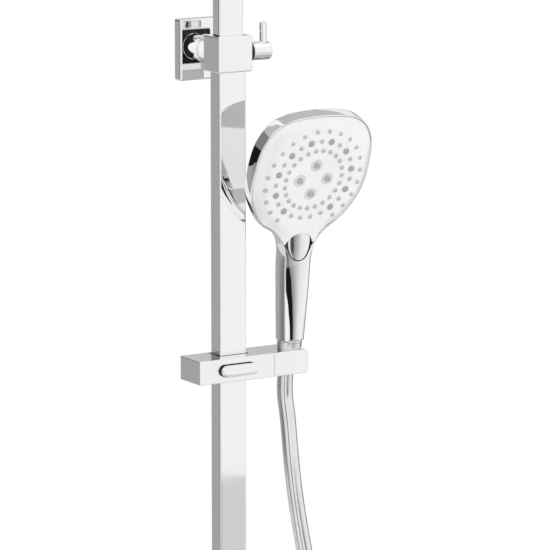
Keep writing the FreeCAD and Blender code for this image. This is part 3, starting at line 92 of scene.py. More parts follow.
# Control points of the hose, as the CAD part has them: from the cone nut down and round to the rail's outlet
HOSE_UPPER = (
    (0.0605, -0.04942, -0.29669), (0.0605, -0.04502, -0.3162), (0.0634, -0.048, -0.344),
    (0.065, -0.0504, -0.38), (0.06715, -0.051, -0.4),
)
HOSE_MIDDLE = (
    (0.06715, -0.051, -0.4), (0.0693, -0.0516, -0.42), (0.0764, -0.0526, -0.462), (0.086, -0.0535, -0.508),
    (0.09125, -0.054, -0.531),
)
HOSE_LOWER = (
    (0.09125, -0.054, -0.531), (0.0965, -0.0545, -0.554), (0.1065, -0.0554, -0.606),
    (0.1145, -0.0562, -0.664), (0.1205, -0.0568, -0.727), (0.124, -0.0572, -0.793),
    (0.1258, -0.0574, -0.86), (0.126, -0.0572, -0.923), (0.125, -0.0568, -0.976),
    (0.1215, -0.056, -1.016), (0.108, -0.055, -1.046), (0.0845, -0.0538, -1.068),
    (0.054, -0.0526, -1.0795), (0.021, -0.0514, -1.078), (-0.009, -0.0502, -1.064),
    (-0.031, -0.0493, -1.0395), (-0.0425, -0.0486, -1.009), (-0.0465, -0.0481, -0.974),
    (-0.047, -0.0478, -0.934), (-0.0435, -0.0476, -0.892), (-0.035, -0.0475, -0.851),
    (-0.0225, -0.0474, -0.815), (-0.01, -0.0473, -0.785), (-0.0025, -0.0472, -0.758),
    (0.0, -0.0472, -0.737), (0.0, -0.0472, -0.718),
)


# ---------------------------------------------------------------- helpers

def linked(name, data):
    """A new object in the scene."""
    thing = bpy.data.objects.new(name, data)
    bpy.context.collection.objects.link(thing)
    return thing


def turns(steps, closed=False):
    """Angles of a full turn; a closed one repeats its start."""
    return [2 * math.pi * k / steps for k in range(steps + 1 if closed else steps)]


def join_rings(shape, rings):
    """Faces between neighbouring rings of points."""
    for first, second in zip(rings, rings[1:]):
        for k in range(len(first)):
            after = (k + 1) % len(first)
            shape.faces.new((first[k], first[after], second[after], second[k]))


def subdivide(piece, levels):
    """Smooth a piece by subdivision."""
    smooth = piece.modifiers.new("smooth", "SUBSURF")
    smooth.levels = smooth.render_levels = levels


# ---------------------------------------------------------------- camera

def place_camera():
    """Long lens, a little above the hand shower and to its left."""
    camera = linked("camera", bpy.data.cameras.new("camera"))
    camera.data.sensor_width = 36
    camera.data.lens = 251.99
    camera.data.clip_end = 100
    camera.location = (-1.7700, -3.0198, 0.4229)
    camera.rotation_euler = (math.radians(79.728), 0, math.radians(-31.475))
    bpy.context.scene.camera = camera


# ---------------------------------------------------------------- materials

def shader(name):
    """An empty material with its Principled shader."""
    material = bpy.data.materials.new(name)
    material.use_nodes = True
    tree = material.node_tree
    return material, tree, tree.nodes["Principled BSDF"]


def noise(tree, scale, detail=4.0, roughness=0.55):
    """Procedural noise on the object's own coordinates."""
    place = tree.nodes.new("ShaderNodeTexCoord")
    node = tree.nodes.new("ShaderNodeTexNoise")
    node.inputs["Scale"].default_value = scale
    node.inputs["Detail"].default_value = detail
    node.inputs["Roughness"].default_value = roughness
    tree.links.new(place.outputs["Object"], node.inputs["Vector"])
    return node.outputs["Fac"]


def spread(tree, source, low, high, start=0.3, end=0.7):
    """Source mapped from start..end to low..high."""
    node = tree.nodes.new("ShaderNodeMapRange")
    for socket, value in (("From Min", start), ("From Max", end), ("To Min", low), ("To Max", high)):
        node.inputs[socket].default_value = value
    tree.links.new(source, node.inputs["Value"])
    return node.outputs["Result"]


def between(tree, source, low, high):
    """Colours from low to high along a source."""
    node = tree.nodes.new("ShaderNodeMix")
    node.data_type = "RGBA"
    node.inputs["A"].default_value = (*low, 1)
    node.inputs["B"].default_value = (*high, 1)
    tree.links.new(source, node.inputs["Factor"])
    return node.outputs["Result"]


def relief(tree, bsdf, source, strength, depth):
    """Bump from a source; depth is in metres."""
    bump = tree.nodes.new("ShaderNodeBump")
    bump.inputs["Strength"].default_value = strength
    bump.inputs["Distance"].default_value = depth
    tree.links.new(source, bump.inputs["Height"])
    tree.links.new(bump.outputs["Normal"], bsdf.inputs["Normal"])


def chrome(name, tone=0.93, low=0.02, high=0.045, waves=0.03):
    """Bright plate: faint cloudiness in its tone and gloss, and a very slight waviness."""
    material, tree, bsdf = shader(name)
    bsdf.inputs["Metallic"].default_value = 1.0
    clouds = noise(tree, 22.0)
    cloudy = (tone - 0.03, tone - 0.025, tone - 0.018)
    tint = between(tree, spread(tree, clouds, 0, 1), cloudy, (tone, tone, tone))
    tree.links.new(tint, bsdf.inputs["Base Color"])
    tree.links.new(spread(tree, noise(tree, 60.0, 6.0), low, high), bsdf.inputs["Roughness"])
    relief(tree, bsdf, noise(tree, 14.0, 2.0), waves, 0.0005)
    return material


def plastic(name, colour, roughness, coat=0.0, grain=900.0, depth=0.00003):
    """Moulded plastic or rubber: fine grain, faint mottling."""
    material, tree, bsdf = shader(name)
    darker = tuple(0.94 * c for c in colour)
    tint = between(tree, spread(tree, noise(tree, 35.0), 0, 1), darker, colour)
    tree.links.new(tint, bsdf.inputs["Base Color"])
    gloss = spread(tree, noise(tree, 80.0), roughness * 0.85, roughness * 1.15)
    tree.links.new(gloss, bsdf.inputs["Roughness"])
    bsdf.inputs["Coat Weight"].default_value = coat
    bsdf.inputs["Coat Roughness"].default_value = 0.06
    relief(tree, bsdf, noise(tree, grain, 2.0), 0.25, depth)
    return material


def turned_metal(name, colour, roughness):
    """Machined brass or steel with fine tool lines."""
    material, tree, bsdf = shader(name)
    bsdf.inputs["Metallic"].default_value = 1.0
    tint = between(tree, spread(tree, noise(tree, 40.0), 0, 1), tuple(0.88 * c for c in colour), colour)
    tree.links.new(tint, bsdf.inputs["Base Color"])
    gloss = spread(tree, noise(tree, 300.0, 6.0), roughness * 0.7, roughness * 1.3)
    tree.links.new(gloss, bsdf.inputs["Roughness"])
    lines = tree.nodes.new("ShaderNodeTexWave")
    lines.inputs["Scale"].default_value = 400.0
    place = tree.nodes.new("ShaderNodeTexCoord")
    tree.links.new(place.outputs["Object"], lines.inputs["Vector"])
    relief(tree, bsdf, lines.outputs["Fac"], 0.15, 0.00002)
    return material


def hose_skin(name):
    """Smooth silver hose: clear PVC over a metallic foil."""
    material, tree, bsdf = shader(name)
    bsdf.inputs["Metallic"].default_value = 0.85
    tint = between(tree, spread(tree, noise(tree, 50.0), 0, 1), (0.78, 0.78, 0.785), (0.84, 0.84, 0.845))
    tree.links.new(tint, bsdf.inputs["Base Color"])
    tree.links.new(spread(tree, noise(tree, 120.0), 0.16, 0.2), bsdf.inputs["Roughness"])
    bsdf.inputs["Coat Weight"].default_value = 0.15
    bsdf.inputs["Coat Roughness"].default_value = 0.05
    relief(tree, bsdf, noise(tree, 500.0, 3.0), 0.05, 0.00001)
    return material


MATERIALS = {
    "chrome": chrome("chrome_plate"),
    "chromed_plastic": chrome("chrome_on_plastic", 0.92, 0.025, 0.055, 0.04),
    "brass": turned_metal("turned_brass", (0.72, 0.60, 0.34), 0.25),
    "steel": turned_metal("bright_steel", (0.62, 0.63, 0.64), 0.28),
    "seal": plastic("rubber_seal", (0.03, 0.03, 0.033), 0.6),
    "black_plastic": plastic("black_acetal", (0.035, 0.035, 0.038), 0.4),
    "silicone": plastic("grey_silicone", (0.60, 0.61, 0.61), 0.4),
    "jet_silicone": plastic("dark_grey_silicone", (0.50, 0.51, 0.51), 0.4),
    # near-black: the dust ring's own colour, and painted shade on the sheets on the blocks' backs
    "dust_ring_and_shade": plastic("dust_ring_black_and_painted_shade", (0.004, 0.004, 0.004), 0.5),
    "pale_disc": plastic("pale_grey_disc", (0.70, 0.70, 0.70), 0.3),
    "satin_chrome": chrome("satin_chrome_plate", 0.86, 0.3, 0.36, 0.02),
    "white_plastic": plastic("white_gloss", (0.90, 0.90, 0.90), 0.16, 0.5, 700.0, 0.00001),
    "hose": hose_skin("silver_hose"),
}


def finish_nodes():
    """Every CAD node takes the material of its slot in the record; the hose nut's plate is satin."""
    for part in frame["record"]["subparts"]:
        mesh = frame["nodes"][part["node"]].data
        mesh.materials.clear()
        satin = part["node"] == "cone_nut"
        mesh.materials.append(MATERIALS["satin_chrome" if satin else part["material_slot"]])


# ---------------------------------------------------------------- hose

def hose_line(name, points):
    """The smooth line that runs near a route's points, as a list of points."""
    curve = bpy.data.curves.new(name + "_line", "CURVE")
    curve.dimensions = "3D"
    curve.resolution_u = 16
    spline = curve.splines.new("NURBS")
    spline.points.add(len(points) - 1)
    for spot, point in zip(spline.points, points):
        spot.co = (*point, 1)
    spline.order_u = 3
    spline.use_endpoint_u = True
    line = linked(name + "_line", curve)
    bpy.context.view_layer.update()
    sampled = bpy.data.meshes.new_from_object(line)
    path = [vertex.co.copy() for vertex in sampled.vertices]
    bpy.data.objects.remove(line)
    return path


def tube_mesh(name, path, radius, sides=40):
    """A round tube along a line, with closed ends."""
    mesh, shape = bpy.data.meshes.new(name), bmesh.new()
    across = Vector((0, -1, 0))
    rings = []
    for index, point in enumerate(path):
        after, before = path[min(index + 1, len(path) - 1)], path[max(index - 1, 0)]
        forward = (after - before).normalized()
        across = (across - forward * across.dot(forward)).normalized()
        side = forward.cross(across)
        rings.append([shape.verts.new(point + radius * (math.cos(turn) * across + math.sin(turn) * side))
                      for turn in turns(sides)])
    join_rings(shape, rings)
    shape.faces.new(rings[0][::-1])
    shape.faces.new(rings[-1])
    bmesh.ops.recalc_face_normals(shape, faces=shape.faces)
    for face in shape.faces:
        face.smooth = len(face.verts) == 4
        if not face.smooth:
            for edge in face.edges:
                edge.smooth = False
    shape.to_mesh(mesh)
    shape.free()
    return linked(name, mesh)


def hose_piece(name, points):
    """One stretch of the hose: a fixed tube along a smooth line through its points, between its two bodies."""
    path = hose_line(name, points)
    tube = tube_mesh(name + "_skin", path, HOSE_DIAMETER / 2)
    tube.data.materials.append(MATERIALS["hose"])
    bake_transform(tube)
    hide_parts(name)


def hose():
    """The hose in three stretches, each between the two bodies that it joins."""
    hose_piece("hose_upper", HOSE_UPPER)
    hose_piece("hose_middle", HOSE_MIDDLE)
    hose_piece("hose_lower", HOSE_LOWER)


# ---------------------------------------------------------------- hand shower

FACE_DEGREES = 21.3            # the spray face leans forward
FACE_LEAN = math.radians(FACE_DEGREES)
FACE_CENTRE = Vector((HANDSET_X, RAIL_Y - 0.0494, -0.1143))
FACE_UP = Vector((0, -math.sin(FACE_LEAN), math.cos(FACE_LEAN)))
FACE_OUT = Vector((0, -math.cos(FACE_LEAN), -math.sin(FACE_LEAN)))
RIM_OUT = -5.5                 # the rim's front edge lies behind the middle of the spray face, mm
FACE_HALF = 60                 # half the spray face's width, mm
FRONT_GAP = 0.2                # between the handle's bright front and the bead beside it, mm
PLATE_GAP = 0.3                # between the white plate and the bead round it, mm

# Right half of the rim's front edge, mm: across, up the face, and the middle line's place beside it
HEAD_RIGHT = (
    (0, 63, 17), (8, 62.7, 16.5), (16.5, 62.1, 16), (25.2, 61.1, 15), (33.5, 59.3, 14), (41.2, 56.1, 12),
    (47.2, 51.9, 10), (51.8, 46.6, 8), (55.6, 40.1, 6), (58.5, 33, 3), (60.3, 25, 0), (61.1, 16, -4),
    (61.5, 6.5, -8), (61.2, -4.5, -12), (59.7, -15, -17), (56.9, -23.9, -22), (52.8, -32.2, -28),
    (47.6, -40.2, -35), (41.3, -47.6, -42),
)
# On down the neck and handle, mm: half width, in front of the rail's axis, height, the middle line's height
HANDLE_RIGHT = (
    (35, 27.3, -160.6, -156.5), (29.3, 26.8, -164.2, -161.8), (24.6, 26.0, -168.3, -167),
    (20.6, 25.0, -172.8, -172.2), (17.8, 24.5, -177.2, -177), (15.9, 24.3, -181.5, -181.5),
    (14.6, 24.0, -186.5, -186.5), (14.0, 23.2, -192, -192), (13.8, 22.0, -200, -200),
    (13.6, 21.1, -210, -210), (12.9, 19.8, -226, -226), (12.1, 18.4, -242, -242),
    (11.3, 17.2, -256, -256), (10.8, 16.5, -264, -263), (10.65, 16.3, -267.6, -264),
    (10.2, 16.2, -268.5, -264.5), (9.2, 16.2, -268.8, -265), (5, 16.2, -268.8, -266),
    (0, 16.2, -268.8, -266.5),
)

# Along the hand shower, by mm under the block's centre
HANDLE_LEAN = ((176, FACE_DEGREES), (205, 8), (240, 3), (268, 0))                # lean forward, degrees
HANDSET_DEPTH = ((0, 13.5), (130, 13.5), (146, 11.8), (157, 12.2), (168, 14.0), (174, 16.3), (181, 18.6),
                 (190, 19.2), (205, 18.6), (225, 18), (268, 17.5))               # front edge to back, mm
BEAD_WIDTH = ((178, 1.15), (205, 0.5), (262, 0.4), (268, 0.2))                   # frame's front bead, mm
CORNER_RADIUS = ((115, 0.7), (142, 2.2), (165, 2.2), (185, 2.8), (268, 2.8))     # between side and back, mm
SIDE_SWELL = ((150, 0.25), (185, 0.9), (268, 0.9))                               # side's bulge outward, mm
BACK_DOME = ((60, 5.0), (140, 5.0), (178, 2.5), (200, 1.0), (268, 0.6))          # back's bulge, mm
FRONT_TURN = ((178, 10), (194, 15), (216, 21), (240, 28), (257, 33), (268, 34))  # front's roll, degrees

# A place on the right edge and its partner on the middle line; height is under the block's centre and half is the
# half width, both in mm
Section = namedtuple("Section", "edge middle outward backward height half")


def on_face(across, up, out=0.0):
    """A point by its place on the spray face, in mm."""
    return FACE_CENTRE + MM * (Vector((across, 0, 0)) + up * FACE_UP + out * FACE_OUT)


def ramp(value, stops):
    """Value read off a list of (position, value) stops."""
    for (start, low), (end, high) in zip(stops, stops[1:]):
        if value <= end:
            share = max(0.0, (value - start) / (end - start))
            return low + (high - low) * share * share * (3 - 2 * share)
    return stops[-1][1]


def eased(rows, steps):
    """Catmull-Rom points through rows of numbers, with steps between neighbours."""
    out = []
    for k in range(len(rows) - 1):
        before, start, end, after = (rows[max(0, min(j, len(rows) - 1))] for j in (k - 1, k, k + 1, k + 2))
        for step in range(steps):
            t = step / steps
            out.append([0.5 * (2 * b + (c - a) * t + (2 * a - 5 * b + 4 * c - d) * t * t
                               + (3 * b - a - 3 * c + d) * t ** 3)
                        for a, b, c, d in zip(before, start, end, after)])
    return out + [list(rows[-1])]


def half_outline():
    """Rows for the right half, top to bottom: outline x, y, z, then the middle line's y, z, all in metres."""
    rows = []
    for across, up, middle in HEAD_RIGHT:
        edge, centre = on_face(across, up, RIM_OUT), on_face(0, middle, RIM_OUT)
        rows.append((edge.x - HANDSET_X, edge.y, edge.z, centre.y, centre.z))
    for half, front, height, middle in HANDLE_RIGHT:
        rows.append((half * MM, RAIL_Y - front * MM, height * MM, RAIL_Y - front * MM, middle * MM))
    return eased(rows, 5)


def sections():
    """The cuts through the right half, top to bottom."""
    rows = half_outline()
    out = []
    for k, row in enumerate(rows):
        height = -row[2] / MM
        lean = math.radians(ramp(height, HANDLE_LEAN))
        backward = Vector((0, math.cos(lean), math.sin(lean)))
        after, before = rows[min(k + 1, len(rows) - 1)], rows[max(k - 1, 0)]
        tangent = Vector(after[:3]) - Vector(before[:3])
        if k == 0:
            tangent = Vector((1, 0, 0))
        if k == len(rows) - 1:
            tangent = Vector((-1, 0, 0))
        outward = backward.cross(tangent).normalized() * -1
        edge = Vector((HANDSET_X + row[0], row[1], row[2]))
        middle = Vector((HANDSET_X, row[3], row[4]))
        out.append(Section(edge, middle, outward, backward, height, row[0] / MM))
    return out


def mirrored(points):
    """Points with left and right exchanged, in the same order."""
    return [Vector((2 * HANDSET_X - p.x, p.y, p.z)) for p in points]


def grid_mesh(name, rows, material, closed=False):
    """A smooth sheet through rows of points; a closed one joins its last row to its first."""
    mesh, shape = bpy.data.meshes.new(name), bmesh.new()
    grid = [[shape.verts.new(point) for point in row] for row in rows]
    pairs = list(zip(grid, grid[1:])) + ([(grid[-1], grid[0])] if closed else [])
    for first, second in pairs:
        for k in range(len(first) - 1):
            shape.faces.new((first[k], first[k + 1], second[k + 1], second[k]))
    bmesh.ops.remove_doubles(shape, verts=shape.verts, dist=1e-6)
    bmesh.ops.recalc_face_normals(shape, faces=shape.faces)
    for face in shape.faces:
        face.smooth = True
    shape.to_mesh(mesh)
    shape.free()
    mesh.materials.append(MATERIALS[material])
    return linked(name, mesh)


def bead(height):
    """Width of the frame's front bead, mm; it thins out down the handle."""
    return ramp(height, BEAD_WIDTH)


def shell_row(section):
    """Profile of the rear shell: groove, bead, side wall, rear corner and rear surface to the middle line."""
    deep = ramp(section.height, HANDSET_DEPTH)
    corner = ramp(section.height, CORNER_RADIUS)
    swell = ramp(section.height, SIDE_SWELL)
    dome = ramp(section.height, BACK_DOME)
    wide = bead(section.height)
    profile = [(-wide, 2.0), (-wide, 0.35), (-0.87 * wide, 0.02), (-wide / 2, -0.2 * wide),
               (-0.17 * wide, 0.02), (0, 0.35), (0.06, 0.9)]
    profile += [(swell * 0.75, deep * 0.28), (swell, deep * 0.5), (swell * 0.8, deep * 0.72)]
    profile += [(0.05, deep - corner), (-0.12 * corner, deep - 0.62 * corner),
                (-0.45 * corner, deep - 0.2 * corner), (-corner, deep)]
    row = [section.edge + MM * (out * section.outward + back * section.backward) for out, back in profile]
    start = row[-1]
    centre = section.middle + MM * (deep + dome) * section.backward
    for share in (0.06, 0.2, 0.4, 0.6, 0.8, 1.0):
        point = start.lerp(centre, share)
        rise = math.sin(share * math.pi / 2) - share
        row.append(point + MM * dome * rise * section.backward)
    return row


def handset_shell():
    """Rear shell of the hand shower with the bright frame round its front."""
    right = [shell_row(section) for section in sections()]
    left = [mirrored(row) for row in right[1:-1]]
    piece = grid_mesh("handset_shell", right + left[::-1], "chromed_plastic", closed=True)
    subdivide(piece, 1)
    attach(piece, "handset")
    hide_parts("handset_back_shell")


# The selector's pocket in the handle's front, mm: height under the block's centre, half width
POCKET = ((178.0, 14.6), (182, 12.2), (187, 9.7), (189.5, 8.0), (191.2, 5.9), (192.4, 3.5), (192.9, 0.0))
BELOW_POCKET = (194, 196, 199, 203, 208, 214, 220, 227, 234, 241, 248, 255, 261, 265, 267.6)
HANDLE_START = 160             # the outline is the handle's from here down, mm under the block's centre
LIP_BACK = 1.4                 # how far the front turns in behind the bead, mm
FOOT_ROWS = ((0.7, 0.3, 0.995), (1.0, 1.0, 0.98), (1.0, 6.0, 0.95))    # down and back, mm; share of the width


def section_at(height, rows):
    """The section at a height, between the two nearest."""
    for first, second in zip(rows, rows[1:]):
        if first.height <= height <= second.height:
            t = (height - first.height) / max(second.height - first.height, 1e-9)
            return Section(*(a.lerp(b, t) if isinstance(a, Vector) else a + (b - a) * t
                             for a, b in zip(first, second)))
    return rows[-1]


def front_half(section):
    """Half width of the handle's bright front, mm."""
    return section.half - bead(section.height) - FRONT_GAP


def front_point(section, across):
    """Point of the handle's front at a distance across from the middle line, in mm."""
    inner = front_half(section)
    bulge = inner * math.tan(math.radians(ramp(section.height, FRONT_TURN)) / 2)
    level = Vector((HANDSET_X, section.edge.y, section.edge.z)) + MM * FRONT_GAP * section.backward
    return level + MM * (Vector((across, 0, 0)) - bulge * (1 - (across / inner) ** 2) * section.backward)


def handle_front():
    """Bright front of the handle: two strips beside the selector, one sheet below it."""
    rows = [section for section in sections() if section.height > HANDLE_START]
    right = []
    for height, stop in POCKET + tuple((height, 0.0) for height in BELOW_POCKET):
        section = section_at(height, rows)
        inner = front_half(section)
        lip = front_point(section, inner) + MM * LIP_BACK * section.backward
        last = [lip] + [front_point(section, inner + (stop - inner) * share)
                        for share in (0, 0.06, 0.2, 0.4, 0.6, 0.8, 1.0)]
        right.append(last)
    for down, back, inset in FOOT_ROWS:
        right.append([Vector((HANDSET_X + (p.x - HANDSET_X) * inset, p.y + back * MM, p.z - down * MM))
                      for p in last])
    left = [mirrored(row) for row in right]
    piece = grid_mesh("handle_front", right, "chromed_plastic")
    other = grid_mesh("handle_front_left", left, "chromed_plastic")
    shape = bmesh.new()
    shape.from_mesh(piece.data)
    shape.from_mesh(other.data)
    bmesh.ops.remove_doubles(shape, verts=shape.verts, dist=2e-6)
    bmesh.ops.recalc_face_normals(shape, faces=shape.faces)
    shape.to_mesh(piece.data)
    shape.free()
    bpy.data.objects.remove(other)
    subdivide(piece, 2)
    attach(piece, "handset")
    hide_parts("handset_front_shell")


# The white plate's lower edge over the selector, mm: across, up the face
ARCH = ((15.3, -68.4), (14.0, -65.6), (12.0, -62.3), (9.0, -59.2), (4.8, -57.1), (0, -56.3))
# Rings of the white plate: share of its outline, and how far behind its surface, mm
PLATE_RINGS = ((1.0, 3.2), (1.0, 0.5), (0.998, 0.16), (0.992, 0.02), (0.98, 0), (0.95, 0), (0.91, 0),
               (0.86, 0), (0.8, 0), (0.72, 0), (0.6, 0), (0.4, 0), (0.2, 0), (0.05, 0))
PLATE_FLAT = 0.74              # the plate is flat out to this share of its outline
# Share of the plate's roll back to the rim, by degrees from straight down; it fades out at the neck
NECK_ROLL = ((9, 0.0), (14, 0.15), (21, 0.55), (33, 0.9), (42, 1.0))


def plate_out(across, up, share):
    """How far the plate lies in front of the face plane; share is 0 in the middle and 1 at the edge."""
    angle = math.degrees(math.atan2(abs(across), -up)) if up < 0 else 90
    return RIM_OUT * ramp(angle, NECK_ROLL) * max(0.0, (share - PLATE_FLAT) / (1 - PLATE_FLAT)) ** 2


def white_plate():
    """White spray plate: flat in the middle, rolled back to the rim, with an arch over the selector."""
    half = []
    for section in sections():
        place = section.edge - MM * (bead(section.height) + PLATE_GAP) * section.outward - FACE_CENTRE
        across, up = place.x / MM, place.dot(FACE_UP) / MM
        if up < ARCH[0][1] + PLATE_GAP:
            break
        half.append((across, up))
    half += [tuple(row) for row in eased(ARCH, 4)]
    loop = half + [(-x, y) for x, y in half[1:-1][::-1]]
    rows = [[on_face(x * share, y * share, plate_out(x, y, share) - sunk) for x, y in loop + loop[:1]]
            for share, sunk in PLATE_RINGS]
    rows.append([on_face(0, 0)] * len(rows[0]))
    piece = grid_mesh("white_plate", rows, "white_plastic")
    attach(piece, "handset")
    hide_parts("spray_face")


SWIRL_RING, INNER_RING, MIDDLE_RING, OUTER_RING = 14.6, 29.7, 39.4, 49.3      # nozzle rings' radii, mm
RING_COUNT = 23                # nozzles in the inner and in the middle ring
OUTER_COUNT = 10               # nozzles on each side of the outer ring
OUTER_STEP = 15.1              # degrees between the outer ring's nozzles, which leave the bottom free


def ring_places(radius, angles):
    """Places on a ring of the face, by angle clockwise from the top."""
    return [(radius * math.sin(math.radians(a)), radius * math.cos(math.radians(a))) for a in angles]


def nozzle_places():
    """Small nozzles, jets and swirl discs."""
    step = 360 / RING_COUNT
    small = ring_places(INNER_RING, [(k + 0.5) * step for k in range(RING_COUNT)])
    jets = []
    side_count = RING_COUNT // 2
    for k in range(-side_count, side_count + 1):
        is_jet = k % 2 and abs(k) < side_count
        (jets if is_jet else small).extend(ring_places(MIDDLE_RING, [k * step]))
    outer = [side * (k + 0.5) * OUTER_STEP for k in range(OUTER_COUNT) for side in (-1, 1)]
    small += ring_places(OUTER_RING, outer)
    return small, jets, ring_places(SWIRL_RING, (0, 90, 180, 270))


# Turned shapes on the spray face, mm: radius, and how far out of the plate
SMALL_PROFILE = ((2.3, -0.3), (2.25, 0.05), (2.1, 0.5), (1.85, 1.0), (1.45, 1.35), (1.05, 1.45), (0.8, 1.3),
                 (0.6, 0.4), (0, 0.3))
JET_PROFILE = ((3.2, -0.3), (3.15, 0.1), (3.0, 0.7), (2.75, 0.95), (2.5, 0.7), (2.35, -0.1), (2.05, -0.2),
               (1.9, 1.0), (1.5, 1.6), (1.0, 1.7), (0.7, 1.4), (0.6, 0.2), (0, 0.1))
DISC_PROFILE = ((6.2, -0.4), (6.15, 0.05), (5.95, 0.22), (5.6, 0.24), (5.2, 0.12), (3.6, -0.1), (3.4, -0.15))
CORE_PROFILE = ((3.4, -0.3), (3.3, 0.5), (3.0, 1.5), (2.6, 2.1), (2.1, 2.3), (1.7, 2.1), (1.5, 1.5),
                (1.2, 1.3), (0.9, 1.8), (0.5, 1.9), (0, 1.9))


def turned_set(name, places, profile, material, replaced=(), steps=28):
    """The same turned shape at several places of the spray face."""
    mesh, shape = bpy.data.meshes.new(name), bmesh.new()
    for across, up in places:
        base = plate_out(across, up, math.hypot(across, up) / FACE_HALF)
        rings = [[shape.verts.new(on_face(across + wide * math.cos(t), up + wide * math.sin(t), base + out))
                  for t in turns(steps)] for wide, out in profile if wide]
        join_rings(shape, rings)
        if profile[-1][0] == 0:
            tip = shape.verts.new(on_face(across, up, base + profile[-1][1]))
            for k in range(steps):
                shape.faces.new((rings[-1][k], rings[-1][(k + 1) % steps], tip))
    bmesh.ops.recalc_face_normals(shape, faces=shape.faces)
    for face in shape.faces:
        face.smooth = True
    shape.to_mesh(mesh)
    shape.free()
    mesh.materials.append(MATERIALS[material])
    piece = linked(name, mesh)
    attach(piece, "handset")
    if replaced:
        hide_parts(*replaced)


def nozzles():
    """Rubber nozzles, ringed jets, and pale discs with a raised core."""
    small, jets, swirls = nozzle_places()
    turned_set("small_nozzles", small, SMALL_PROFILE, "silicone", ["spray_nozzle_mat"], 20)
    turned_set("jet_nozzles", jets, JET_PROFILE, "jet_silicone")
    turned_set("swirl_plates", swirls, DISC_PROFILE, "pale_disc", ["swirl_discs"], 40)
    turned_set("swirl_cores", swirls, CORE_PROFILE, "jet_silicone")


# Right half of the selector's outline, mm: height under the block's centre, half width
TONGUE = ((164.5, 0.0), (164.7, 5.0), (165.8, 8.6), (168, 10.8), (172, 11.7), (177, 11.7), (182, 10.9),
          (186, 9.3), (188.8, 7.5), (190.8, 5.4), (192.1, 3.0), (192.5, 0.0))
TONGUE_MIDDLE = 178.0
TONGUE_TOP, TONGUE_FRONT = 166, 28.2           # front's height and place in front of the rail's axis, mm
TONGUE_FALL = 0.125                            # how far it falls back for each mm down
TONGUE_HALF, TONGUE_ROLL = 10.5, 1.7           # at this far across it has rolled back this far, mm
# Rings of the selector and of its skirt: share of the outline, and how far behind the front, mm
TONGUE_RINGS = ((1.0, 1.1), (0.995, 0.5), (0.965, 0.12), (0.92, 0.0), (0.8, 0.0), (0.6, 0.0), (0.35, 0.0),
                (0.12, 0.0), (0.0, 0.0))
SKIRT_RINGS = ((0.985, 0.9), (0.985, 1.9), (1.28, 1.9))
SPRING_TURNS, SPRING_STEPS = 3, 24
SPRING_RADIUS, WIRE_RADIUS = 2.2, 0.3          # mm
SPRING_FRONT, SPRING_LENGTH = 24.7, 1.9        # in front of the rail's axis, and back from there, mm
SPRING_HEIGHT = 179                            # under the block's centre, mm


def tongue_point(across, height, back):
    """Point of the selector's front or behind it; the front falls back downward and rolls off sideways."""
    front = TONGUE_FRONT - TONGUE_FALL * (height - TONGUE_TOP) - TONGUE_ROLL * (across / TONGUE_HALF) ** 2
    return Vector((HANDSET_X + across * MM, RAIL_Y - (front - back) * MM, -height * MM))


def tongue_rings(outline, rings):
    """Closed rows of points round the selector's middle."""
    return [[tongue_point(x * share, TONGUE_MIDDLE + (y - TONGUE_MIDDLE) * share, back)
             for x, y in outline + outline[:1]] for share, back in rings]


def selector():
    """Bright push button, a tongue under the white arch, with a black skirt round it."""
    outline = [(half, height) for height, half in eased(TONGUE, 6)]
    outline += [(-half, height) for half, height in outline[1:-1][::-1]]
    piece = grid_mesh("selector_tongue", tongue_rings(outline, TONGUE_RINGS), "chromed_plastic")
    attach(piece, "selector")
    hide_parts("select_button")
    skirt = grid_mesh("selector_skirt", tongue_rings(outline, SKIRT_RINGS), "black_plastic")
    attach(skirt, "selector")


def selector_spring():
    """Short coil spring behind the selector."""
    coil = []
    steps = SPRING_TURNS * SPRING_STEPS
    for k in range(steps + 1):
        turn = 2 * math.pi * k / SPRING_STEPS
        coil.append(Vector((HANDSET_X + SPRING_RADIUS * MM * math.cos(turn),
                            RAIL_Y - (SPRING_FRONT - SPRING_LENGTH * k / steps) * MM,
                            -SPRING_HEIGHT * MM + SPRING_RADIUS * MM * math.sin(turn))))
    spring = tube_mesh("selector_spring", coil, WIRE_RADIUS * MM, 10)
    spring.data.materials.append(MATERIALS["steel"])
    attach(spring, "handset")
    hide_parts("select_spring")


CONE_DEGREES = 12.7            # the holder's cone leans forward
CONE_FRONT = 0.0042            # its axis passes this far in front of the rail's, at the slider's height
# Collar's profile, mm: up the cone, radius
COLLAR_PROFILE = ((20.35, 9.6), (20.35, 10.8), (20.5, 10.95), (21.7, 10.95), (21.7, 9.6))


def inlet_collar():
    """Satin collar between the handle's lower end and the hose nut."""
    lean = math.radians(CONE_DEGREES)
    axis = Vector((0, -math.sin(lean), math.cos(lean)))
    across = Vector((0, math.cos(lean), math.sin(lean)))
    start = Vector((HANDSET_X, RAIL_Y - CONE_FRONT, SLIDER_Z))
    rows = [[start + MM * (way * axis + radius * (math.cos(t) * Vector((1, 0, 0)) + math.sin(t) * across))
             for t in turns(48, closed=True)] for way, radius in COLLAR_PROFILE]
    piece = grid_mesh("inlet_collar", rows, "satin_chrome")
    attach(piece, "handset")


# ---------------------------------------------------------------- release button

BUTTON_X = -0.0027             # its middle lies a little left of the rail's
BUTTON_SEAT = 21.9             # the slider's front, in front of the rail's axis, mm
BUTTON_WIDE, BUTTON_TALL = 38.8, 10.8          # mm
# Rings of the button's cap and body, mm: inset, out of the slider's front
CAP_LEVELS = ((0.05, 2.8), (0.0, 3.0), (0.0, 4.7), (0.12, 5.15), (0.4, 5.5), (0.8, 5.66), (1.3, 5.7),
              (3.5, 5.7), (5.4, 5.7))
BODY_LEVELS = ((0.3, 2.9), (0.3, -3.2), (0.8, -3.4))


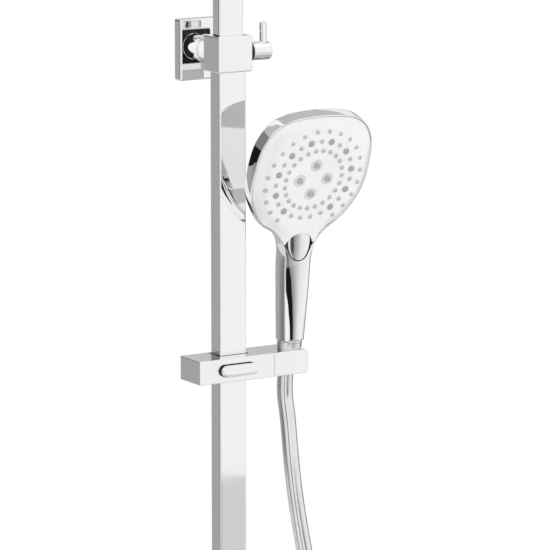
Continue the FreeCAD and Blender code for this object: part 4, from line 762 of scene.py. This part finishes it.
def pill_outline(inset, steps=16):
    """The button's outline about its middle, counter-clockwise from its lower right."""
    radius, reach = BUTTON_TALL / 2 - inset, (BUTTON_WIDE - BUTTON_TALL) / 2
    points = []
    for side, start in ((1, -90), (-1, 90)):
        for k in range(steps + 1):
            turn = math.radians(start + 180 * k / steps)
            points.append((side * reach + radius * math.cos(turn), radius * math.sin(turn)))
    return points


def button_part(name, levels, material):
    """Part of the release button, ring by ring."""
    rows = []
    for inset, out in levels:
        row = [Vector((BUTTON_X + x * MM, RAIL_Y - (BUTTON_SEAT + out) * MM, SLIDER_Z + z * MM))
               for x, z in pill_outline(inset)]
        rows.append(row + row[:1])
    piece = grid_mesh(name, rows, material)
    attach(piece, "button")
    return piece


def release_button():
    """Bright cap over a black body."""
    cap = button_part("button_cap", CAP_LEVELS, "chromed_plastic")
    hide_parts("release_button")
    button_part("button_body", BODY_LEVELS, "black_plastic")


# ---------------------------------------------------------------- painted shade sheets, dust ring

BLOCK_BACK = 0.0138            # behind the rail's axis
# near-black sheet on each block's back that stands in for the shadow gap round the arm: painted shade
SHADE_SHEET_HALF_WIDE, SHADE_SHEET_HALF_TALL = 16.9, 15.5                # mm
ARM_HOLE = 12.1                # radius of the shade sheet's hole for the arm, mm
SHADE_SHEET_LEVELS = ((None, 0.02), (None, 0.35), (ARM_HOLE, 0.35))         # radius if round; behind the block, mm
# Black ring's profile, mm: along the knob's axis, radius
DUST_RING_PROFILE = ((17.85, 8.75), (17.85, 8.95), (18.1, 9.1), (23.1, 9.1), (23.35, 8.95), (23.35, 8.75))


def block_shade_sheet(name, level):
    """Near-black sheet on a block's back, round the arm: painted shade standing in for the shadow gap there."""
    rows = []
    for radius, behind in SHADE_SHEET_LEVELS:
        row = []
        for turn in turns(64, closed=True):
            x, z = math.cos(turn), math.sin(turn)
            reach = radius or min(SHADE_SHEET_HALF_WIDE / max(abs(x), 1e-9), SHADE_SHEET_HALF_TALL / max(abs(z), 1e-9))
            row.append(Vector((reach * x * MM, RAIL_Y + BLOCK_BACK + behind * MM, level + reach * z * MM)))
        rows.append(row)
    piece = grid_mesh(name, rows, "dust_ring_and_shade")
    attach(piece, "column")


def shade_sheets():
    """A painted shade sheet on each bracket's block."""
    block_shade_sheet("upper_shade_sheet", 0.0)
    block_shade_sheet("lower_shade_sheet", LOWER_BRACKET_Z)


def dust_ring():
    """Black ring between the diverter block and its knob."""
    rows = [[Vector((along * MM, RAIL_Y + radius * MM * math.cos(t), radius * MM * math.sin(t)))
             for t in turns(40, closed=True)] for along, radius in DUST_RING_PROFILE]
    piece = grid_mesh("dust_ring", rows, "dust_ring_and_shade")
    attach(piece, "column")


# ---------------------------------------------------------------- stage

def card_mesh(name, elevation, stops):
    """A curved board round the object between two elevations, with its tone by azimuth on its points."""
    mesh, shape = bpy.data.meshes.new(name), bmesh.new()
    tones = shape.verts.layers.float_color.new("tone")
    columns = []
    for (start, low), (end, high) in zip(stops, stops[1:]):
        steps = max(1, round(abs(end - start) / CARD_STEP))
        for k in range(steps + 1):
            turn = math.radians(start + (end - start) * k / steps)
            tone = low + (high - low) * k / steps
            column = []
            for up in elevation:
                vertex = shape.verts.new((CARD_CENTRE[0] + CARD_DISTANCE * math.sin(turn),
                                          CARD_CENTRE[1] - CARD_DISTANCE * math.cos(turn),
                                          CARD_CENTRE[2] + CARD_DISTANCE * math.tan(math.radians(up))))
                vertex[tones] = (tone, tone, tone, 1)
                column.append(vertex)
            columns.append(column)
    for first, second in zip(columns, columns[1:]):
        if (first[0].co - second[0].co).length > 1e-6:
            shape.faces.new((first[0], second[0], second[1], first[1]))
    shape.to_mesh(mesh)
    shape.free()
    return mesh


def glowing(name):
    """Light of the tone on the mesh's points."""
    material = bpy.data.materials.new(name)
    material.use_nodes = True
    tree = material.node_tree
    tree.nodes.clear()
    glow = tree.nodes.new("ShaderNodeEmission")
    shade = tree.nodes.new("ShaderNodeAttribute")
    shade.attribute_name = "tone"
    tree.links.new(shade.outputs["Color"], glow.inputs["Color"])
    tree.links.new(glow.outputs[0], tree.nodes.new("ShaderNodeOutputMaterial").inputs["Surface"])
    return material


def card(name, elevation, stops):
    """A reflector that only gloss sees."""
    mesh = card_mesh(name, elevation, stops)
    mesh.materials.append(glowing(name))
    board = linked(name, mesh)
    board.visible_camera = board.visible_diffuse = board.visible_shadow = False


def left_flag():
    """Dark cloth on the left that only matt surfaces feel, so round things shade off to that side."""
    mesh = bpy.data.meshes.new("left_flag")
    corners = ((-0.3, -0.13, -0.7), (-0.3, 0.5, -0.7), (-0.3, 0.5, 0.3), (-0.3, -0.13, 0.3))
    mesh.from_pydata(corners, [], [(0, 1, 2, 3)])
    material, tree, bsdf = shader("black_cloth")
    weave = between(tree, noise(tree, 300.0), (0.01, 0.01, 0.01), (0.03, 0.03, 0.03))
    tree.links.new(weave, bsdf.inputs["Base Color"])
    mesh.materials.append(material)
    flag = linked("left_flag", mesh)
    flag.visible_camera = flag.visible_glossy = flag.visible_shadow = False


def studio():
    """Pale floor, white room, and cards that give the chrome its greys and its dark edges."""
    bpy.ops.mesh.primitive_plane_add(size=60, location=(0, 0, FLOOR_Z))
    floor = bpy.context.object
    floor.name = "floor"
    material, tree, bsdf = shader("pale_floor")
    tint = between(tree, noise(tree, 1.5), (0.93, 0.93, 0.93), (0.95, 0.95, 0.95))
    tree.links.new(tint, bsdf.inputs["Base Color"])
    bsdf.inputs["Roughness"].default_value = 0.9
    floor.data.materials.append(material)
    floor.visible_glossy = False

    world = bpy.data.worlds.new("studio")
    world.use_nodes = True
    sky = world.node_tree.nodes["Background"]
    sky.inputs["Color"].default_value = (1, 1, 1, 1)
    sky.inputs["Strength"].default_value = 1.09
    bpy.context.scene.world = world
    bpy.context.scene.view_settings.view_transform = "Standard"

    for name, elevation, stops in CARDS:
        card(name, elevation, stops)
    left_flag()


place_camera()
hose()
finish_nodes()
for build in (handset_shell, handle_front, white_plate, nozzles, selector, selector_spring, inlet_collar,
              release_button, shade_sheets, dust_ring):
    build()
studio()
